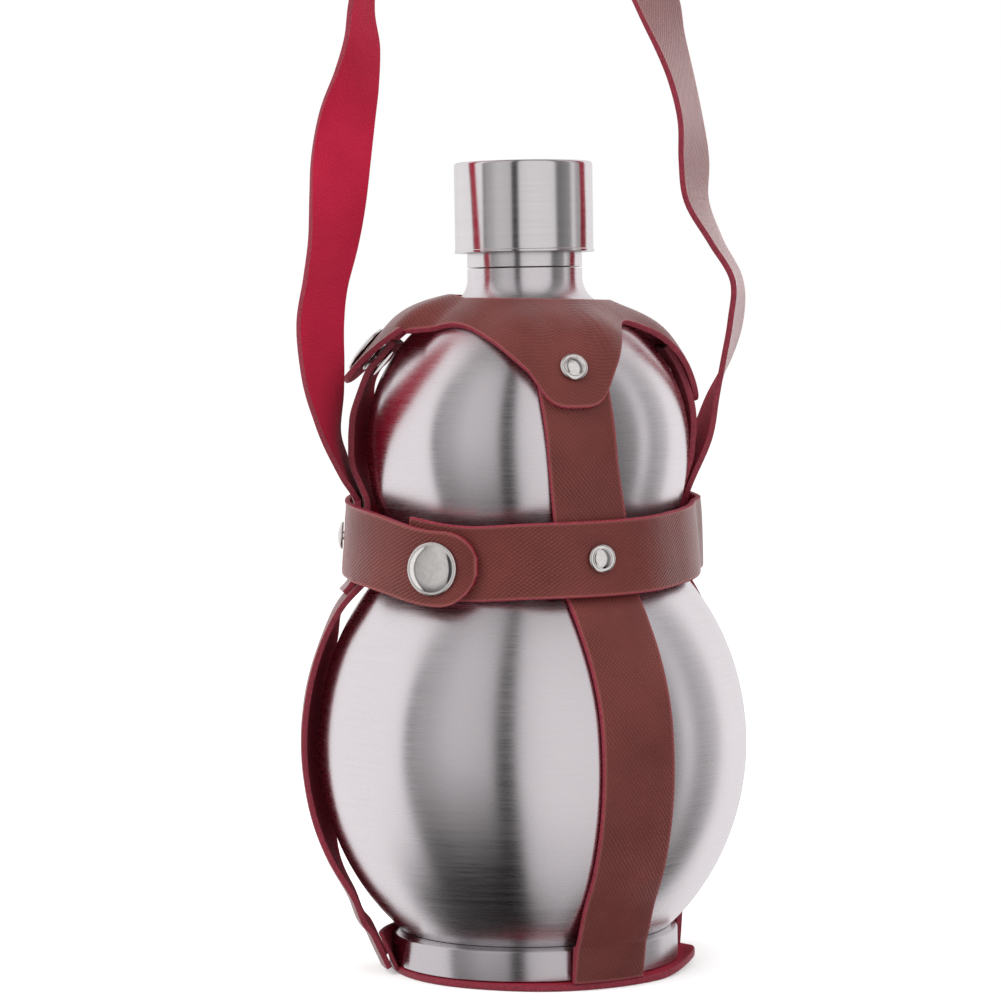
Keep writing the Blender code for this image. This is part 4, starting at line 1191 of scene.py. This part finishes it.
def make_belt():
    count = 1 + round((BAND_END - BAND_START) / 1.6)
    dents = [(*belt_rivet_place(strap), RIVET_RADIUS * 1.25) for strap in STRAPS]
    azimuths = spread(BAND_START, BAND_END, count)
    band = belt_leather("belt_band_leather", azimuths, band_middle, belt_radius, band_half, dents)
    stand_for(band, "brown_leather", "belt_band")
    azimuths = spread(BAND_END - 360.0, FLAP_END - 12.0, 36)
    tip = (10.8, 9.6, 8.4, 7.2, 6.0, 5.0, 4.1, 3.2, 2.4, 1.7, 1.1, 0.6, 0.2, 0.0)
    azimuths += [FLAP_END - turn for turn in tip]
    dents = [(SNAP_AZIMUTH, flap_middle(SNAP_AZIMUTH), SNAP_RADIUS * 1.2)]
    flap = belt_leather("belt_flap_leather", azimuths, flap_middle, flap_radius, flap_half, dents)
    stand_for(flap, "brown_leather", "belt_flap", body=None)
    height = flap_middle(BELT_FOLD)
    radius = flap_radius(BELT_FOLD, height) + LEATHER
    start = place(BELT_FOLD - 0.5, radius, height)
    place(BELT_FOLD + 7.0, radius, height)
    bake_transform(flap)


make_belt()


# Base disc with its turned-up tabs
def curl_rise(point):
    """How far the disc's edge turns up at its right side, on both sides of straight right."""
    azimuth = math.degrees(math.atan2(point.x, -point.y))
    edge = smooth(point.length, BASE_RADIUS - CURL_WIDTH, BASE_RADIUS)
    return CURL_RISE * between(azimuth, *CURL_REACH) * edge


def make_base():
    def disc_spot(azimuth, share, out):
        trim = DISC_TRIM * between(apart_from(azimuth, 0.0), *TRIM_REACH)
        flat = place(azimuth, share * (BASE_RADIUS - trim), 0.0)
        return BASE_MIDDLE + flat + Vector((0, 0, out * BASE_THICKNESS + curl_rise(flat)))

    shares = [0.18, 0.36, 0.53, 0.67, 0.76, 0.82, 0.87, 0.91, 0.935, 0.955, 0.97, 0.985, 1.0]
    azimuths = [360.0 * step / DISC_SIDES for step in range(DISC_SIDES)]
    inner, outer = grids(azimuths, shares, disc_spot)
    thing = leather("base_disc_leather", inner, outer, ring=True, materials=[BACKING, FACE, EDGE])
    stand_for(thing, "red_leather", "base_disc")
    half = math.degrees(TAB_WIDTH / 2 / FOOT_RADIUS)
    for strap in STRAPS:

        def tab_spot(side, height, out):
            radius = foot_radius(strap, height) - 2.0 * LAYER_GAP - (1 - out) * TAB_THICKNESS
            if strap is LEFT:
                radius -= (foot_radius(strap, height) - foot_radius(strap, 0.0)) * (1.0 - side) * 0.75
            return place(strap.bottom + side * half, radius, height)

        inner, outer = grids(ACROSS, spread(BASE_THICKNESS / 2, TAB_HEIGHT, 8), tab_spot)
        thing = leather("tab_" + strap.name, inner, outer, materials=[FACE, BACKING, EDGE])
        stand_for(thing, "red_leather")


make_base()


# Rivets and snaps, made along +Z with the leather's outer face at height zero
def share_outline(shares, radius, height, base):
    return [Vector((radius * across, base + height * up)) for across, up in shares]


RIVET_SHARES = [
    (0.0, 1.0), (0.22, 0.985), (0.42, 0.93), (0.56, 0.83), (0.655, 0.68), (0.69, 0.6), (0.72, 0.58),
    (0.76, 0.62), (0.83, 0.64), (0.9, 0.58), (0.96, 0.44), (0.995, 0.26), (0.995, 0.12), (0.96, 0.0),
]
SNAP_SHARES = [
    (0.0, 1.0), (0.3, 0.992), (0.46, 0.968), (0.58, 0.925), (0.68, 0.86), (0.78, 0.74), (0.86, 0.58),
    (0.905, 0.5), (0.925, 0.53), (0.955, 0.53), (0.985, 0.44), (1.0, 0.3), (0.995, 0.12), (0.965, 0.0),
]


def stand_metal(name, outline, sides, point, direction, body, node):
    """A lathed fastener, turned from +Z to its direction and moved to its point."""
    thing = lathe(name + "_metal", outline, NICKEL, sides)
    turn = Vector((0, 0, 1)).rotation_difference(direction).to_matrix().to_4x4()
    thing.data.transform(Matrix.Translation(point) @ turn)
    stand_for(thing, "polished_nickel", node, body=body)


def rivet(name, stack, point, direction):
    tail = -stack - HOLE_PLAY - BEND_ROOM
    outline = share_outline(RIVET_SHARES, RIVET_RADIUS, RIVET_DOME, HOLE_PLAY)
    outline += rounded(
        (RIVET_SHANK, HOLE_PLAY, 0),
        (RIVET_SHANK, tail, 0),
        (RIVET_TAIL_RADIUS, tail, 0.15),
        (RIVET_TAIL_RADIUS, tail - RIVET_TAIL, 0.3),
        (0, tail - RIVET_TAIL, 0),
    )
    stand_metal(name, outline, 72, point, direction, "flask", name)


def snap(name, body, point, below, normal, face):
    """face is the direction of the cap's face, which the pull of the strap can tip a little."""
    outline = share_outline(SNAP_SHARES, SNAP_RADIUS, SNAP_DOME, HOLE_PLAY)
    outline += [Vector((SNAP_SHANK, HOLE_PLAY)), Vector((SNAP_SHANK, -LEATHER)), Vector((0, -LEATHER))]
    stand_metal(name + "_cap", outline, 96, point, face, body, name + "_cap")
    top = -LEATHER - HOLE_PLAY - BEND_ROOM
    low = top - SOCKET_THICKNESS
    mouth = 3.2 * MM
    outline = [Vector((0, top))] + rounded(
        (SOCKET_RADIUS, top, 0.3),
        (SOCKET_RADIUS, low, 0.25),
        (mouth, low, 0.25),
        (mouth, top - 0.3 * MM, 0.1),
        (0, top - 0.3 * MM, 0),
    )
    stand_metal(name + "_socket", outline, 72, point, normal, body, name + "_socket")
    flange = HOLE_PLAY + STUD_FLANGE
    knob = 2.8 * MM
    outline = [Vector((0, flange + 0.6 * MM))] + rounded(
        (knob * 0.9, flange + 0.6 * MM, 0.2),
        (knob, flange + 0.35 * MM, 0.1),
        (knob * 0.88, flange, 0),
        (STUD_RADIUS, flange, 0.12),
        (STUD_RADIUS, HOLE_PLAY, 0),
        (SNAP_SHANK, HOLE_PLAY, 0),
        (SNAP_SHANK, -LEATHER, 0),
        (0, -LEATHER, 0),
    )
    stand_metal(name + "_stud", outline, 72, below, normal, "flask", name + "_stud")
    low = top - BACK_THICKNESS
    outline = [Vector((0, top))] + rounded(
        (STUD_RADIUS, top, 0.15), (STUD_RADIUS, low, 0.15), (0, low, 0)
    )
    stand_metal(name + "_back", outline, 72, below, normal, "flask", name + "_back")


def lean_direction(azimuth):
    return (outward(azimuth) + Vector((0, 0, WAIST_LEAN))).normalized()


def sloped(azimuth, slope):
    return outward(azimuth) * slope.x + Vector((0, 0, slope.y))


def make_fasteners():
    for strap in STRAPS:
        side = strap.name.split("_")[1]
        if strap is not LEFT:
            azimuth = strap_azimuth(strap, CROWN_RIVET_HEIGHT)
            tilt = tilt_at(UPPER, CROWN_RIVET_HEIGHT)
            normal = bulb_point(UPPER, tilt, LEATHER) - bulb_point(UPPER, tilt, 0)
            direction = sloped(azimuth, normal).normalized()
            point = crown_surface(azimuth, tilt, LEATHER)
            rivet("crown_rivet_" + side, 2 * LEATHER + LAYER_GAP, point, direction)
        azimuth, height = belt_rivet_place(strap)
        layers = 3 if strap.doubled else 2
        pitch = LEATHER + LAYER_GAP + (HELD_ROOM if strap.doubled else 0.0)
        point = place(azimuth, belt_radius(azimuth, height) + LEATHER, height)
        rivet("belt_rivet_" + side, (layers - 1) * pitch + LEATHER, point, lean_direction(azimuth))

    normal = sloped(LEFT.top, FLAP_NORMAL)
    point = flap_place(SNAP_PLACE, LEATHER)
    snap("crown_snap", "crown_closure", point, point - normal * (LEATHER + SNAP_SPACE), normal, normal)
    height = flap_middle(SNAP_AZIMUTH)
    normal = lean_direction(SNAP_AZIMUTH)
    point = place(SNAP_AZIMUTH, flap_radius(SNAP_AZIMUTH, height) + LEATHER, height)
    below = point - normal * (LEATHER + SNAP_SPACE)
    snap("belt_snap", "belt_closure", point, below, normal, lean_direction(SNAP_AZIMUTH + SNAP_TIP))


make_fasteners()


# Studio
def make_floor():
    mesh = bpy.data.meshes.new("floor")
    reach = 30.0
    corners = [(-reach, -reach), (reach, -reach), (reach, reach), (-reach, reach)]
    mesh.from_pydata([(x, y, -0.1 * MM) for x, y in corners], [], [(0, 1, 2, 3)])
    floor = link("floor", mesh)
    white = {"Base_Color": (0.86, 0.86, 0.86), "Emission_Color": (1.0, 1.0, 1.0)}
    s = principled("studio_floor", Roughness=0.9, Specular_IOR_Level=0.0, **white)
    seen = s.add("ShaderNodeLightPath").outputs["Is Camera Ray"]
    s.feed(s.socket("Emission Strength"), s.times(seen, 0.34))
    mesh.materials.append(s.owner)
    floor.visible_glossy = False


# What polished metal sees round the studio: azimuth of the direction, and its level
STUDIO = [
    (-180.0, 0.75), (-150.0, 0.9), (-125.0, 1.06), (-75.0, 1.06), (-70.0, 0.24), (-63.0, 0.46), (-42.0, 0.68),
    (-22.0, 0.64), (-18.0, 0.06), (-11.0, 0.06), (-6.0, 0.8), (14.0, 0.86), (52.0, 0.84), (59.0, 0.2),
    (82.0, 0.3), (91.0, 0.85), (101.0, 0.44), (114.0, 0.6), (126.0, 1.04), (160.0, 0.9), (180.0, 0.75),
]


# The way from the flask to the dark end of the table, below it at the left
DARK_WAY = (-0.35, 0.0, -0.937)


def make_world():
    world = bpy.data.worlds.new("studio")
    bpy.context.scene.world = world
    s = Shading(world)
    generated = s.add("ShaderNodeTexCoord").outputs["Generated"]
    way = s.add("ShaderNodeSeparateXYZ", {0: generated})
    azimuth = s.math("ARCTAN2", way.outputs[0], s.times(way.outputs[1], -1.0))
    share = s.plus(s.math("DIVIDE", azimuth, math.tau), 0.5)
    bands = s.ramp(share, [((turn + 180.0) / 360.0, level) for turn, level in STUDIO])
    height = way.outputs[2]
    low = s.span(height, -0.72, -0.12)
    dark = s.span(bands, 0.7, 0.82, 1.0, 0.0)
    low = s.math("SUBTRACT", 1.0, s.times(dark, s.math("SUBTRACT", 1.0, low)))
    high = s.span(height, 0.8, 0.97, 1.0, 0.35)
    below = s.span(height, -1.0, -0.5, 0.6, 1.0)
    toward = s.add("ShaderNodeVectorMath", {0: generated, 1: DARK_WAY}, operation="DOT_PRODUCT")
    below = s.times(below, s.span(toward.outputs["Value"], 0.83, 0.93, 1.0, 0.06))
    level = s.times(s.times(low, below), s.times(high, bands))
    level = s.mix(level, (0.0, 0.0, 0.0), (1.0, 0.965, 0.985))
    rays = s.add("ShaderNodeLightPath")
    shiny = s.math("MAXIMUM", rays.outputs["Is Glossy Ray"], rays.outputs["Is Transmission Ray"])
    level = s.mix(shiny, s.span(height, -1.0, 1.0, 0.55, 0.85), level)
    level = s.mix(rays.outputs["Is Camera Ray"], level, (1.0, 1.0, 1.0))
    s.feed(s.tree.nodes["Background"].inputs["Color"], level)


def make_lamp(name, azimuth, elevation, distance, size, power):
    data = bpy.data.lights.new(name, "AREA")
    data.shape = "DISK"
    data.size = size
    data.energy = power
    lamp = link(name, data)
    rise = math.radians(elevation)
    way = outward(azimuth) * math.cos(rise) + Vector((0, 0, math.sin(rise)))
    lamp.location = Vector((0, 0, 0.14)) + way * distance
    lamp.rotation_mode = "QUATERNION"
    lamp.rotation_quaternion = way.to_track_quat("Z", "Y")
    lamp.visible_glossy = False


make_floor()
make_world()
make_lamp("left_softbox", -60.0, 35.0, 1.5, 1.0, 12.0)
make_lamp("right_softbox", 65.0, 30.0, 1.6, 1.0, 8.0)
make_lamp("top_softbox", 0.0, 85.0, 1.5, 1.2, 8.0)

bpy.context.scene.view_settings.view_transform = "Standard"
